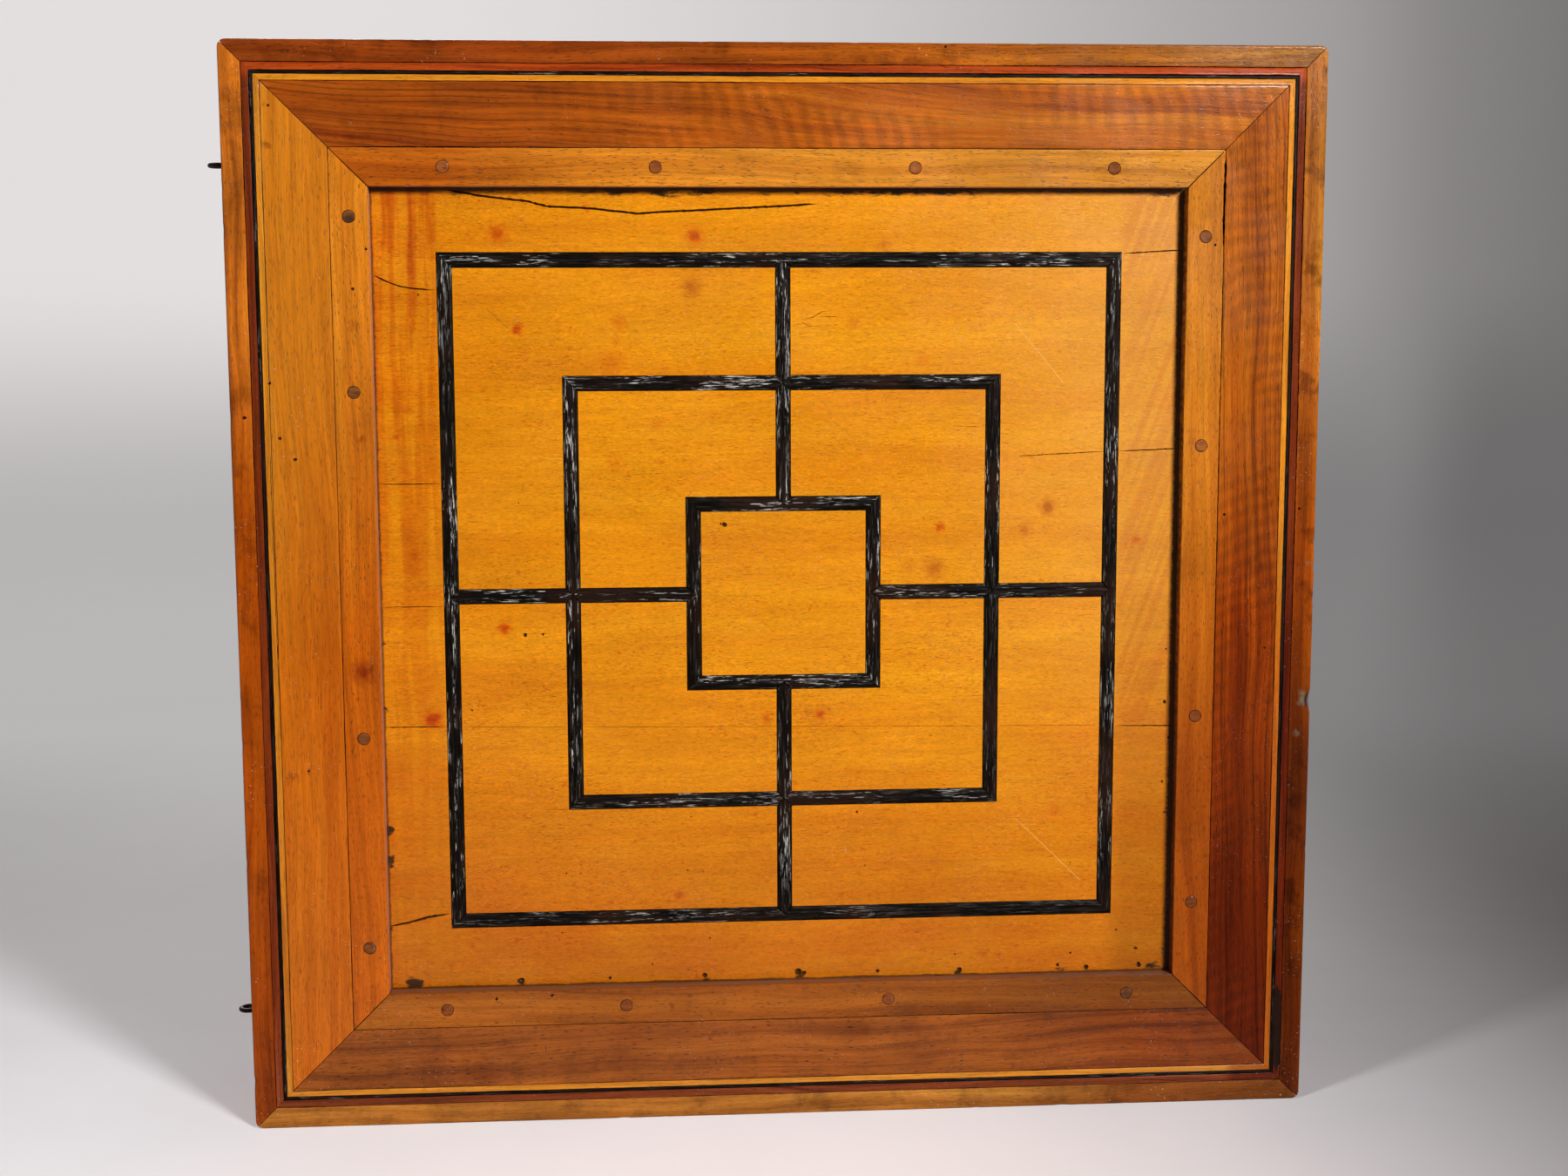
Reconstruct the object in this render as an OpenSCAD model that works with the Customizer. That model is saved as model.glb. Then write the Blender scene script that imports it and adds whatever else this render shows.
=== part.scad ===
// Folding games box of two mitred trays that close face to face.
// The front tray carries nine men's morris, the rear tray a chess field,
// and both hold inlaid backgammon points inside.
// The closed box stands upright: X to the right, Y from front to rear, Z up.
// The origin is in the middle of the base, on the plane where the trays meet.

/* [Case] */
// Side of the square face
board = 450; // [405:5:500]
// Thickness of the side walls, seen as the rim of the face
wall_t = 9; // [8:0.5:12]
// Depth of one tray from its face to the seam
tray_d = 42; // [32:1:60]
// Gap between the closed trays
seam_gap = 0.3; // [0.2:0.1:0.6]
// Rounding of the four corners of the box
corner_r = 2.2; // [0.5:0.1:4]
// Rounding of the outer edge of each face
edge_r = 0.9; // [0.3:0.1:1.5]

/* [Panels] */
// Depth of the playing fields below the frame around them
frame_t = 6.5; // [5:0.5:9]
// Thickness of the planks
panel_t = 10; // [8:0.5:14]
// Heights of the front panel's joints at the left wall
lower_joints_left = [86, 171, 221]; // [60:1:230]
upper_joints_left = [270, 355]; // [240:1:380]
// Heights of the same joints at the right wall, as the planks taper
lower_joints_right = [90, 165, 221]; // [60:1:230]
upper_joints_right = [286, 368]; // [240:1:380]
// Heights of the rear panel's joints
rear_joints = [104, 231, 332]; // [60:1:380]

/* [Strings and borders] */
// Width of the red string inside the rim
red_string_w = 3.2; // [2:0.1:5]
// Width of the black string
black_string_w = 1.4; // [1:0.1:3]
// Width of the light string
light_string_w = 2.6; // [1.5:0.1:4]
// Depth of the strings' rebate
string_t = 2; // [1:0.1:4]
// Width of the wide border strips
border_w = 26; // [18:0.5:30]
// Width of the pegged inner strips
inner_strip_w = 15.4; // [10:0.2:18]

/* [Pegs] */
// Diameter of the wooden pegs
peg_d = 5; // [3:0.1:7]
// How far a peg enters the planks
peg_seat = 3; // [2:0.5:6]
// How far a peg stands proud of its strip
peg_proud = 0.2; // [0:0.1:0.6]
// Chamfer around a peg's visible end
peg_chamfer = 0.3; // [0.1:0.1:0.8]
// Distance of the end pegs from the ends of the strip's inner edge,
// bottom, right, top and left, each running anticlockwise
peg_insets_first = [24, 32, 31, 12]; // [8:1:45]
peg_insets_last = [20, 20, 30, 20]; // [8:1:45]
// Distance of the two other pegs from the middle of the strip
peg_mids_first = [68, 54, 54, 85]; // [35:1:90]
peg_mids_last = [44, 61, 52, 58]; // [35:1:90]

/* [Mill lines] */
// Width of the black lines
line_w = 6.4; // [4:0.2:8]
// Distance from the frame to the outer square's outer edge
mill_margin = 25.9; // [12:0.1:40]
// Side of the inner square, between the middles of its lines
inner_square = 75.4; // [60:0.2:100]
// Depth of the grooves for the lines
line_seat = 2; // [1:0.1:4]
// Height of the lines' crown above the panel
line_crown = 0.5; // [0.2:0.1:1]
// Flat top of the crown
crown_flat = 2.6; // [1:0.1:3.4]

/* [Chess field] */
// Distance from the frame to the line around the field
chess_margin = 5; // [2:0.5:15]
// Width of the line around the field
field_line_w = 2.4; // [1:0.1:4]
// Thickness of the squares
square_t = 1.5; // [1:0.1:4]

/* [Backgammon points] */
// Length of a point
point_length = 168; // [120:1:180]
// Space between the bases of two points
point_gap = 4; // [1:0.5:12]
// Thickness of the inlaid points
point_t = 1.2; // [0.6:0.1:3]
// Width of a point's blunt tip
point_tip = 1; // [0.5:0.1:3]

/* [Hinges] */
// Height of the hinge's middle above the base and below the top
hinge_inset = 92; // [60:1:130]
// Length of a hinge
hinge_l = 60; // [40:1:80]
// Width of a leaf on the rim
leaf_w = 8; // [6:0.1:8]
// Thickness of a leaf
leaf_t = 1.2; // [0.8:0.1:2]
// Radius of the knuckles
knuckle_r = 2.5; // [2.2:0.1:4]
// Radius of the pin
pin_r = 1.2; // [0.8:0.1:1.4]
// Thickness of the heads of the pin
pin_head_t = 0.9; // [0.5:0.1:1.5]
// How far the pin's heads reach over its shank
pin_head_over = 0.8; // [0.3:0.1:1]
// Distance between neighbouring screws of a leaf
screw_pitch = 22; // [12:1:26]
// Radius of a screw's shank
screw_r = 1; // [0.7:0.1:1.2]
// Radius of a screw's countersunk head
screw_head_r = 1.9; // [1.5:0.1:2.2]
// Length of a screw
screw_l = 10; // [6:0.5:14]
// Width of a screw's slot
slot_w = 0.6; // [0.3:0.1:0.8]
// Depth of a screw's slot
slot_t = 0.5; // [0.3:0.1:0.8]

/* [Hooks and eyes] */
// Height of the lower eyes above the base
lower_eye_z = 46; // [44:1:80]
// Distance of the upper eyes from the top
upper_eye_inset = 48; // [20:1:80]
// Depth of the eyes behind their tray's face
eye_d = 21; // [16:0.5:24]
// Radius of the eye's wire
eye_wire_r = 1; // [0.7:0.1:1.2]
// Mean radius of the eye's ring
eye_ring_r = 3.1; // [2.9:0.1:4]
// Distance of the ring's middle from the wall
eye_reach = 5.2; // [4.8:0.1:8]
// Length of the eye's shank inside the wall
eye_shank = 7; // [4:0.5:7.5]
// Radius of the hook's wire
hook_wire_r = 0.85; // [0.6:0.05:0.9]
// Mean radius of the hook's own ring
hook_ring_r = 2.3; // [2.2:0.1:2.5]
// Length of the hook's turned tip
hook_tip = 7; // [5:0.5:10]
// Inner radius of the hook's bend
hook_bend_r = 1.2; // [0.8:0.1:2]

/* [Fits] */
// Hairline between neighbouring inlays
joint_gap = 0.1; // [0.06:0.02:0.3]
// Radial play of the pin in the knuckles that turn on it
pin_fit = 0.05; // [0.02:0.01:0.1]
// Gap between knuckles, and between knuckles and the walls
knuckle_gap = 0.3; // [0.2:0.05:0.6]
// How far a hanging hook's ring drops on its eye
hook_drop = 0.2; // [0.1:0.05:0.3]

/* [Hidden] */

$fn = 48;
BOTTOM = 0;
RIGHT = 1;
TOP = 2;
LEFT = 3;
SIDES = [BOTTOM, RIGHT, TOP, LEFT];

rim_brown = [0.40, 0.19, 0.12];
walnut = [0.33, 0.18, 0.12];
honey = [0.74, 0.50, 0.27];
cherry = [0.60, 0.35, 0.20];
panel_gold = [0.78, 0.51, 0.25];
ebony = [0.10, 0.08, 0.07];
plum_red = [0.45, 0.15, 0.13];
boxwood = [0.84, 0.68, 0.42];
old_brass = [0.62, 0.48, 0.25];
black_iron = [0.12, 0.11, 0.11];

face_y = tray_d + seam_gap / 2;
half_board = board / 2;
rim_half = half_board - wall_t;
black_half = rim_half - red_string_w;
light_half = black_half - black_string_w;
border_half = light_half - light_string_w;
strip_half = border_half - border_w;
field_half = strip_half - inner_strip_w;

// The rear frame has no red string and one wide strip on each side
rear_light_half = rim_half - black_string_w;
rear_border_half = rear_light_half - light_string_w;

field_d = frame_t;
inside_d = frame_t + panel_t;
bore_over = 1;

outer_line = field_half - mill_margin - line_w / 2;
inner_line = inner_square / 2;
middle_line = (outer_line + inner_line) / 2;
LINES = [outer_line, middle_line, inner_line];

squares_half = field_half - chess_margin - field_line_w;
square_w = 2 * squares_half / 8;
points_a_row = 6;
point_pitch = 2 * rim_half / points_a_row;

front_left = concat([wall_t], lower_joints_left, upper_joints_left, [board - wall_t]);
front_right = concat([wall_t], lower_joints_right, upper_joints_right, [board - wall_t]);
rear_heights = concat([wall_t], rear_joints, [board - wall_t]);

knuckles = 5;
knuckle_l = hinge_l / knuckles;
leaf_l = hinge_l - knuckle_gap;
hinge_x = half_board + knuckle_r + knuckle_gap;
hinge_heights = [hinge_inset, board - hinge_inset];
screw_steps = [-screw_pitch, 0, screw_pitch];
screw_x = half_board - leaf_w / 2;
screw_head_h = screw_head_r - screw_r;
screw_point = 3;

eye_x = half_board + eye_reach;
eye_heights = [lower_eye_z, board - upper_eye_inset];
hook_y = face_y - eye_d - eye_ring_r;
hook_reach = 2 * (face_y - eye_d) - eye_ring_r;

// Places

// Draws a flat outline of the face, centred on it, between two depths
module slab(near, far)
    translate([0, far, half_board])
        rotate([90, 0, 0])
            linear_extrude(far - near)
                children();

// Turns what is drawn for the bottom side to another side
module at_side(side)
    translate([0, 0, half_board])
        rotate([0, -90 * side, 0])
            translate([0, 0, -half_board])
                children();

// Puts a tray, drawn by depth behind its face, at the front or the rear
module front_tray()
    translate([0, -face_y, 0])
        children();

module rear_tray()
    mirror([0, 1, 0])
        front_tray()
            children();

// Mitred side of a square frame, from its outer to its inner half width
module mitred(side, outer, inner, gap = 0)
    rotate(90 * side)
        polygon([
            [-outer + gap, -outer],
            [outer - gap, -outer],
            [inner - gap, -inner],
            [-inner + gap, -inner]
        ]);

module square_ring(outer, inner)
    difference() {
        square(2 * outer, center = true);
        square(2 * inner, center = true);
    }

// Walls

module rounded_face()
    union() {
        square([board, board - 2 * corner_r], center = true);
        square([board - 2 * corner_r, board], center = true);
        for (x = [-1, 1])
            for (y = [-1, 1])
                translate([x * (half_board - corner_r), y * (half_board - corner_r)])
                    circle(corner_r);
    }

// Section of a wall: depth to the right, thickness upwards
module wall_section()
    union() {
        translate([edge_r, 0])
            square([tray_d - edge_r, wall_t]);
        translate([0, edge_r])
            square([edge_r, wall_t - edge_r]);
        translate([edge_r, edge_r])
            circle(edge_r);
    }

module wall(side)
    intersection() {
        at_side(side)
            translate([-half_board, 0, 0])
                rotate([90, 0, 90])
                    linear_extrude(board)
                        wall_section();
        slab(0, tray_d)
            intersection() {
                mitred(side, half_board, rim_half);
                rounded_face();
            }
    }

module hinge_wall()
    difference() {
        wall(RIGHT);
        for (z = hinge_heights) {
            leaf_seat(z);
            screw_bores(z);
        }
    }

module eye_wall()
    difference() {
        wall(LEFT);
        for (z = eye_heights)
            translate([-half_board, eye_d, z])
                rotate([0, 90, 0])
                    translate([0, 0, -bore_over])
                        cylinder(h = eye_shank + bore_over, r = eye_wire_r);
    }

// Panels

// Outline of a plank between two joints given at the left and right wall
module plank_outline(low_left, low_right, high_left, high_right)
    translate([0, -half_board])
        polygon([
            [-rim_half, low_left],
            [rim_half, low_right],
            [rim_half, high_right],
            [-rim_half, high_left]
        ]);

module mill_plank(i)
    difference() {
        slab(field_d, inside_d)
            plank_outline(front_left[i], front_right[i], front_left[i + 1], front_right[i + 1]);
        line_grooves();
        peg_shafts(peg_bore = true);
        point_row_pair(0, bore_over);
        point_row_pair(1, bore_over);
    }

module chess_plank(i)
    difference() {
        slab(field_d, inside_d)
            plank_outline(rear_heights[i], rear_heights[i], rear_heights[i + 1], rear_heights[i + 1]);
        slab(field_d - bore_over, field_d + square_t)
            square(2 * (squares_half + field_line_w), center = true);
        point_row_pair(0, bore_over);
        point_row_pair(1, bore_over);
    }

// Borders, strips and strings

// Border strip with a rebate along its outer edge for the strings
module border(side, outer, shoulder, inner)
    union() {
        slab(0, frame_t)
            mitred(side, shoulder, inner);
        slab(string_t, frame_t)
            mitred(side, outer, shoulder);
    }

module string_frame(outer, inner)
    for (side = SIDES)
        slab(0, string_t)
            mitred(side, outer, inner, joint_gap);

module mill_border(side)
    border(side, rim_half, border_half, strip_half);

module chess_border(side)
    border(side, rim_half, rear_border_half, field_half);

module pegged_strip(side)
    difference() {
        slab(0, frame_t)
            mitred(side, strip_half, field_half);
        peg_shafts(peg_bore = true);
    }

// Places of a side's four pegs, from its first to its last end
function peg_places(side) = [
    -field_half + peg_insets_first[side],
    -peg_mids_first[side],
    peg_mids_last[side],
    field_half - peg_insets_last[side]
];

module peg_shafts(peg_bore)
    for (side = SIDES)
        at_side(side)
            for (x = peg_places(side))
                translate([x, 0, half_board - (strip_half + field_half) / 2])
                    rotate([-90, 0, 0])
                        if (peg_bore)
                            translate([0, 0, -bore_over])
                                cylinder(h = frame_t + peg_seat + bore_over, r = peg_d / 2);
                        else
                            peg();

module peg()
    union() {
        cylinder(h = frame_t + peg_seat, r = peg_d / 2);
        translate([0, 0, -peg_proud])
            cylinder(h = peg_proud, r1 = peg_d / 2 - peg_chamfer, r2 = peg_d / 2);
    }

// Mill lines

module line_grooves()
    slab(field_d - bore_over, field_d + line_seat)
        union() {
            for (c = LINES)
                square_ring(c + line_w / 2, c - line_w / 2);
            for (turn = SIDES)
                rotate(90 * turn)
                    translate([-line_w / 2, -outer_line])
                        square([line_w, outer_line - inner_line]);
        }

// Section of a line: depth to the right, width upwards, crowned at the face
module line_section()
    translate([field_d, 0])
        polygon([
            [line_seat, -line_w / 2],
            [line_seat, line_w / 2],
            [0, line_w / 2],
            [-line_crown, crown_flat / 2],
            [-line_crown, -crown_flat / 2],
            [0, -line_w / 2]
        ]);

// Crowned bar along X, centred a distance below the middle of the face
module line_along(c)
    translate([-half_board, 0, half_board - c])
        rotate([90, 0, 90])
            linear_extrude(board)
                line_section();

// Crowned bar along Z through the middle of the face
module line_upright()
    translate([0, 0, half_board])
        rotate([0, 90, 0])
            translate([0, 0, -half_board])
                line_along(0);

// Keeps the part of a bar that lies inside an outline
module cut_line(side)
    at_side(side)
        intersection() {
            children(0);
            slab(field_d - line_crown - bore_over, field_d + line_seat)
                children(1);
        }

// Right-angled notch or point whose apex lies on a line's middle
module notch(c, way)
    polygon([
        [0, -c - way * joint_gap],
        [line_w, -c - way * joint_gap + way * line_w],
        [-line_w, -c - way * joint_gap + way * line_w]
    ]);

// Four mitred lines, notched at the middle of one edge for the spokes
module notched_square(c, way)
    for (side = SIDES)
        cut_line(side) {
            line_along(c);
            difference() {
                mitred(BOTTOM, c + line_w / 2, c - line_w / 2, joint_gap);
                notch(c, way);
            }
        }

// Eight half lines that meet the spokes with right-angled points
module pointed_square(c)
    for (side = SIDES)
        for (hand = [-1, 1])
            cut_line(side) {
                line_along(c);
                scale([hand, 1])
                    polygon([
                        [-c - line_w / 2 + joint_gap, -c - line_w / 2],
                        [-line_w / 2 - joint_gap, -c - line_w / 2],
                        [-joint_gap, -c],
                        [-line_w / 2 - joint_gap, -c + line_w / 2],
                        [-c + line_w / 2 + joint_gap, -c + line_w / 2]
                    ]);
            }

// Spoke between two squares, pointed at both ends
module spoke(from, to)
    polygon([
        [0, -from + joint_gap],
        [line_w / 2, -from + joint_gap + line_w / 2],
        [line_w / 2, -to - joint_gap - line_w / 2],
        [0, -to - joint_gap],
        [-line_w / 2, -to - joint_gap - line_w / 2],
        [-line_w / 2, -from + joint_gap + line_w / 2]
    ]);

// Chess field

// Squares of one colour; the near left corner is dark
module squares(colour)
    slab(field_d, field_d + square_t)
        for (column = [0:7])
            for (row = [0:7])
                if ((column + row) % 2 == colour)
                    translate([column * square_w - squares_half, row * square_w - squares_half])
                        translate([joint_gap / 2, joint_gap / 2])
                            square(square_w - joint_gap);

// Backgammon points

module point_outline(i)
    polygon([
        [(i - points_a_row / 2) * point_pitch + point_gap / 2, -rim_half],
        [(i + 1 - points_a_row / 2) * point_pitch - point_gap / 2, -rim_half],
        [(i + 0.5 - points_a_row / 2) * point_pitch + point_tip / 2, -rim_half + point_length],
        [(i + 0.5 - points_a_row / 2) * point_pitch - point_tip / 2, -rim_half + point_length]
    ]);

// Every second point of the lower row and of the turned upper row
module point_row_pair(first, over = 0)
    slab(inside_d - point_t, inside_d + over)
        for (turn = [0, 180])
            rotate(turn)
                for (i = [first:2:points_a_row - 1])
                    point_outline(i);

// Hinges

// Plate of a leaf, as long as the barrel and a hair shorter than its seat
module leaf_plate(z, reach)
    translate([half_board - leaf_w, tray_d - leaf_t, z - leaf_l / 2])
        cube([reach, leaf_t, leaf_l]);

module leaf_seat(z)
    translate([half_board - leaf_w, tray_d - leaf_t, z - hinge_l / 2])
        cube([leaf_w + bore_over, leaf_t + bore_over, hinge_l]);

module at_hinge_axis(z)
    translate([hinge_x, face_y, z])
        children();

// Stretches of the barrel that belong to a leaf, or the room around them
module barrel(z, first, radius, extra)
    for (k = [first:2:knuckles - 1])
        at_hinge_axis(z - hinge_l / 2 + k * knuckle_l - extra)
            cylinder(h = knuckle_l + 2 * extra, r = radius);

module hinge_leaf(z, first, bore_r)
    difference() {
        union() {
            leaf_plate(z, hinge_x - half_board + leaf_w);
            barrel(z, first, knuckle_r, -knuckle_gap / 2);
        }
        barrel(z, 1 - first, knuckle_r + knuckle_gap, knuckle_gap / 2);
        at_hinge_axis(z - hinge_l)
            cylinder(h = 2 * hinge_l, r = bore_r);
        for (step = screw_steps)
            at_screw(z + step) {
                cylinder(h = screw_head_h, r1 = screw_head_r, r2 = screw_r);
                translate([0, 0, -bore_over])
                    cylinder(h = leaf_t + 2 * bore_over, r = screw_r);
            }
    }

// A screw's axis runs from the seam into the wall
module at_screw(z)
    translate([screw_x, tray_d, z])
        rotate([90, 0, 0])
            children();

module screw_bores(z)
    for (step = screw_steps)
        at_screw(z + step) {
            cylinder(h = screw_l - screw_point, r = screw_r);
            translate([0, 0, screw_l - screw_point])
                cylinder(h = screw_point, r1 = screw_r, r2 = 0);
        }

module wood_screw()
    difference() {
        union() {
            cylinder(h = screw_head_h, r1 = screw_head_r, r2 = screw_r);
            cylinder(h = screw_l - screw_point, r = screw_r);
            translate([0, 0, screw_l - screw_point])
                cylinder(h = screw_point, r1 = screw_r, r2 = 0);
        }
        translate([-screw_head_r, -slot_w / 2, -slot_t])
            cube([2 * screw_head_r, slot_w, 2 * slot_t]);
    }

module leaf_screws()
    for (z = hinge_heights)
        for (step = screw_steps)
            at_screw(z + step)
                wood_screw();

module hinge_pin(z)
    translate([hinge_x, 0, z]) {
        translate([0, 0, -hinge_l / 2])
            cylinder(h = hinge_l, r = pin_r);
        for (end = [0, 1])
            mirror([0, 0, end])
                translate([0, 0, hinge_l / 2])
                    cylinder(h = pin_head_t, r1 = pin_r + pin_head_over, r2 = pin_r);
    }

// Hooks and eyes

module wire_eye(z)
    translate([-eye_x, eye_d, z]) {
        rotate_extrude()
            translate([eye_ring_r, 0])
                circle(eye_wire_r);
        translate([eye_ring_r, 0, 0])
            rotate([0, 90, 0])
                cylinder(h = eye_reach - eye_ring_r + eye_shank, r = eye_wire_r);
    }

module eyes()
    for (z = eye_heights)
        wire_eye(z);

// Hook hanging from the front of the rear eye's ring, its tip to the front
module hook(z)
    translate([-eye_x, hook_y, z]) {
        arm_l = hook_reach - hook_bend_r - hook_wire_r;
        bend = hook_bend_r + hook_wire_r;
        translate([0, 0, -hook_drop])
            rotate([0, 90, 0])
                rotate_extrude()
                    translate([hook_ring_r, 0])
                        circle(hook_wire_r);
        translate([0, 0, -arm_l])
            cylinder(h = arm_l - hook_drop - hook_ring_r, r = hook_wire_r);
        translate([0, -bend, -arm_l])
            rotate([90, 0, 90])
                rotate([0, 0, -90])
                    rotate_extrude(angle = 90)
                        translate([bend, 0])
                            circle(hook_wire_r);
        translate([0, -bend, -hook_reach])
            rotate([90, 0, 0])
                cylinder(h = hook_tip - bend, r = hook_wire_r);
    }

// Sub-parts of the front tray

module mill_bottom_wall() color(rim_brown) front_tray() wall(BOTTOM);
module mill_right_wall() color(rim_brown) front_tray() hinge_wall();
module mill_top_wall() color(rim_brown) front_tray() wall(TOP);
module mill_left_wall() color(rim_brown) front_tray() eye_wall();
module mill_plank_1() color(panel_gold) front_tray() mill_plank(0);
module mill_plank_2() color(panel_gold) front_tray() mill_plank(1);
module mill_plank_3() color(panel_gold) front_tray() mill_plank(2);
module mill_plank_4() color(panel_gold) front_tray() mill_plank(3);
module mill_plank_5() color(panel_gold) front_tray() mill_plank(4);
module mill_plank_6() color(panel_gold) front_tray() mill_plank(5);
module mill_bottom_border() color(walnut) front_tray() mill_border(BOTTOM);
module mill_right_border() color(walnut) front_tray() mill_border(RIGHT);
module mill_top_border() color(walnut) front_tray() mill_border(TOP);
module mill_left_border() color(honey) front_tray() mill_border(LEFT);
module mill_bottom_strip() color(cherry) front_tray() pegged_strip(BOTTOM);
module mill_right_strip() color(cherry) front_tray() pegged_strip(RIGHT);
module mill_top_strip() color(cherry) front_tray() pegged_strip(TOP);
module mill_left_strip() color(cherry) front_tray() pegged_strip(LEFT);
module mill_pegs() color(honey) front_tray() peg_shafts(peg_bore = false);
module mill_red_string() color(plum_red) front_tray() string_frame(rim_half, black_half);
module mill_black_string() color(ebony) front_tray() string_frame(black_half, light_half);
module mill_light_string() color(boxwood) front_tray() string_frame(light_half, border_half);
module mill_outer_square() color(ebony) front_tray() notched_square(outer_line, 1);
module mill_middle_square() color(ebony) front_tray() pointed_square(middle_line);
module mill_inner_square() color(ebony) front_tray() notched_square(inner_line, -1);

module mill_spokes()
    color(ebony)
        front_tray()
            for (side = SIDES)
                for (i = [0, 1])
                    cut_line(side) {
                        line_upright();
                        spoke(LINES[i], LINES[i + 1]);
                    }

module mill_dark_points() color(walnut) front_tray() point_row_pair(0);
module mill_light_points() color(boxwood) front_tray() point_row_pair(1);

// Sub-parts of the rear tray

module chess_bottom_wall() color(rim_brown) rear_tray() wall(BOTTOM);
module chess_right_wall() color(rim_brown) rear_tray() hinge_wall();
module chess_top_wall() color(rim_brown) rear_tray() wall(TOP);
module chess_left_wall() color(rim_brown) rear_tray() eye_wall();
module chess_plank_1() color(panel_gold) rear_tray() chess_plank(0);
module chess_plank_2() color(panel_gold) rear_tray() chess_plank(1);
module chess_plank_3() color(panel_gold) rear_tray() chess_plank(2);
module chess_plank_4() color(panel_gold) rear_tray() chess_plank(3);
module chess_bottom_border() color(walnut) rear_tray() chess_border(BOTTOM);
module chess_right_border() color(walnut) rear_tray() chess_border(RIGHT);
module chess_top_border() color(walnut) rear_tray() chess_border(TOP);
module chess_left_border() color(walnut) rear_tray() chess_border(LEFT);
module chess_black_string() color(ebony) rear_tray() string_frame(rim_half, rear_light_half);

module chess_light_string()
    color(boxwood)
        rear_tray()
            string_frame(rear_light_half, rear_border_half);

module chess_field_line()
    color(ebony)
        rear_tray()
            for (side = SIDES)
                slab(field_d, field_d + square_t)
                    mitred(side, squares_half + field_line_w, squares_half, joint_gap);

module chess_dark_squares() color(walnut) rear_tray() squares(0);
module chess_light_squares() color(boxwood) rear_tray() squares(1);
module chess_dark_points() color(walnut) rear_tray() point_row_pair(1);
module chess_light_points() color(boxwood) rear_tray() point_row_pair(0);

// Hinges, hooks and eyes

module upper_front_leaf()
    color(old_brass)
        front_tray()
            hinge_leaf(hinge_heights[1], 1, pin_r + pin_fit);

module upper_rear_leaf()
    color(old_brass)
        rear_tray()
            hinge_leaf(hinge_heights[1], 0, pin_r);

module lower_front_leaf()
    color(old_brass)
        front_tray()
            hinge_leaf(hinge_heights[0], 1, pin_r + pin_fit);

module lower_rear_leaf()
    color(old_brass)
        rear_tray()
            hinge_leaf(hinge_heights[0], 0, pin_r);

module hinge_pins()
    color(old_brass)
        for (z = hinge_heights)
            hinge_pin(z);

module front_hinge_screws() color(old_brass) front_tray() leaf_screws();
module rear_hinge_screws() color(old_brass) rear_tray() leaf_screws();
module front_eyes() color(black_iron) front_tray() eyes();
module rear_eyes() color(black_iron) rear_tray() eyes();
module upper_hook() color(black_iron) hook(eye_heights[1]);
module lower_hook() color(black_iron) hook(eye_heights[0]);

mill_bottom_wall();
mill_right_wall();
mill_top_wall();
mill_left_wall();
mill_plank_1();
mill_plank_2();
mill_plank_3();
mill_plank_4();
mill_plank_5();
mill_plank_6();
mill_bottom_border();
mill_right_border();
mill_top_border();
mill_left_border();
mill_bottom_strip();
mill_right_strip();
mill_top_strip();
mill_left_strip();
mill_pegs();
mill_red_string();
mill_black_string();
mill_light_string();
mill_outer_square();
mill_middle_square();
mill_inner_square();
mill_spokes();
mill_dark_points();
mill_light_points();
chess_bottom_wall();
chess_right_wall();
chess_top_wall();
chess_left_wall();
chess_plank_1();
chess_plank_2();
chess_plank_3();
chess_plank_4();
chess_bottom_border();
chess_right_border();
chess_top_border();
chess_left_border();
chess_black_string();
chess_light_string();
chess_field_line();
chess_dark_squares();
chess_light_squares();
chess_dark_points();
chess_light_points();
upper_front_leaf();
upper_rear_leaf();
lower_front_leaf();
lower_rear_leaf();
hinge_pins();
front_hinge_screws();
rear_hinge_screws();
front_eyes();
rear_eyes();
upper_hook();
lower_hook();
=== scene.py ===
import math

import bmesh
import bpy
from mathutils import Matrix, Vector, noise


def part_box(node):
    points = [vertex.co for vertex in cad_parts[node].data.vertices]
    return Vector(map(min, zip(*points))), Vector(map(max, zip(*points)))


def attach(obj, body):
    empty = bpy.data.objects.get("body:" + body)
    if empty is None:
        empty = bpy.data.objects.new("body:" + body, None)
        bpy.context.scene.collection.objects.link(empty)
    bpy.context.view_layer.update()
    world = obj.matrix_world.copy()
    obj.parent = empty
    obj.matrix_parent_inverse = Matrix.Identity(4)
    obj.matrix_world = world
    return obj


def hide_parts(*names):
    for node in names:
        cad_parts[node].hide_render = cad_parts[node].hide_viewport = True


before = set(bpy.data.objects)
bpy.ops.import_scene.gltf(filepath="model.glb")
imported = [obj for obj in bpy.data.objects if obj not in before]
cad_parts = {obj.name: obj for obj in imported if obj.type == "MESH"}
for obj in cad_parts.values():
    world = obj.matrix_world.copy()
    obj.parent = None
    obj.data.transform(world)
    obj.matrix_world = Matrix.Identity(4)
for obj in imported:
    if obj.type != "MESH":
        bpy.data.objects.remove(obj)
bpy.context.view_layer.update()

# Sizes in millimetres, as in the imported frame; rings of the face are given by their half widths
MM = 0.001
HALF = 225.0
FACE_Y = 42.15
TRAY_D = 42.0
RIM, BLACK, LIGHT, BORDER = 216.0, 212.8, 211.4, 208.8
STRIP, FIELD = 182.8, 167.4
REAR_LIGHT, REAR_BORDER = 214.6, 212.0
FRAME_T = 6.5
STRING_T = 2.0
CORNER_R = 3.4
LINE_W = 6.4
LINE_SEAT = 2.0
LINES = (138.3, 88.0, 37.7)
SEATS = ((-163.0, -103.0), (103.0, 163.0))
LEAF_W, LEAF_T = 8.0, 1.2
PEG_R = 2.5
PEG_ROW = (STRIP + FIELD) / 2
PEG_PLACES = (
    (-143.4, -68.0, 44.0, 147.4),
    (-135.4, -54.0, 61.0, 147.4),
    (-136.4, -54.0, 52.0, 137.4),
    (-155.4, -85.0, 58.0, 147.4),
)
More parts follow.
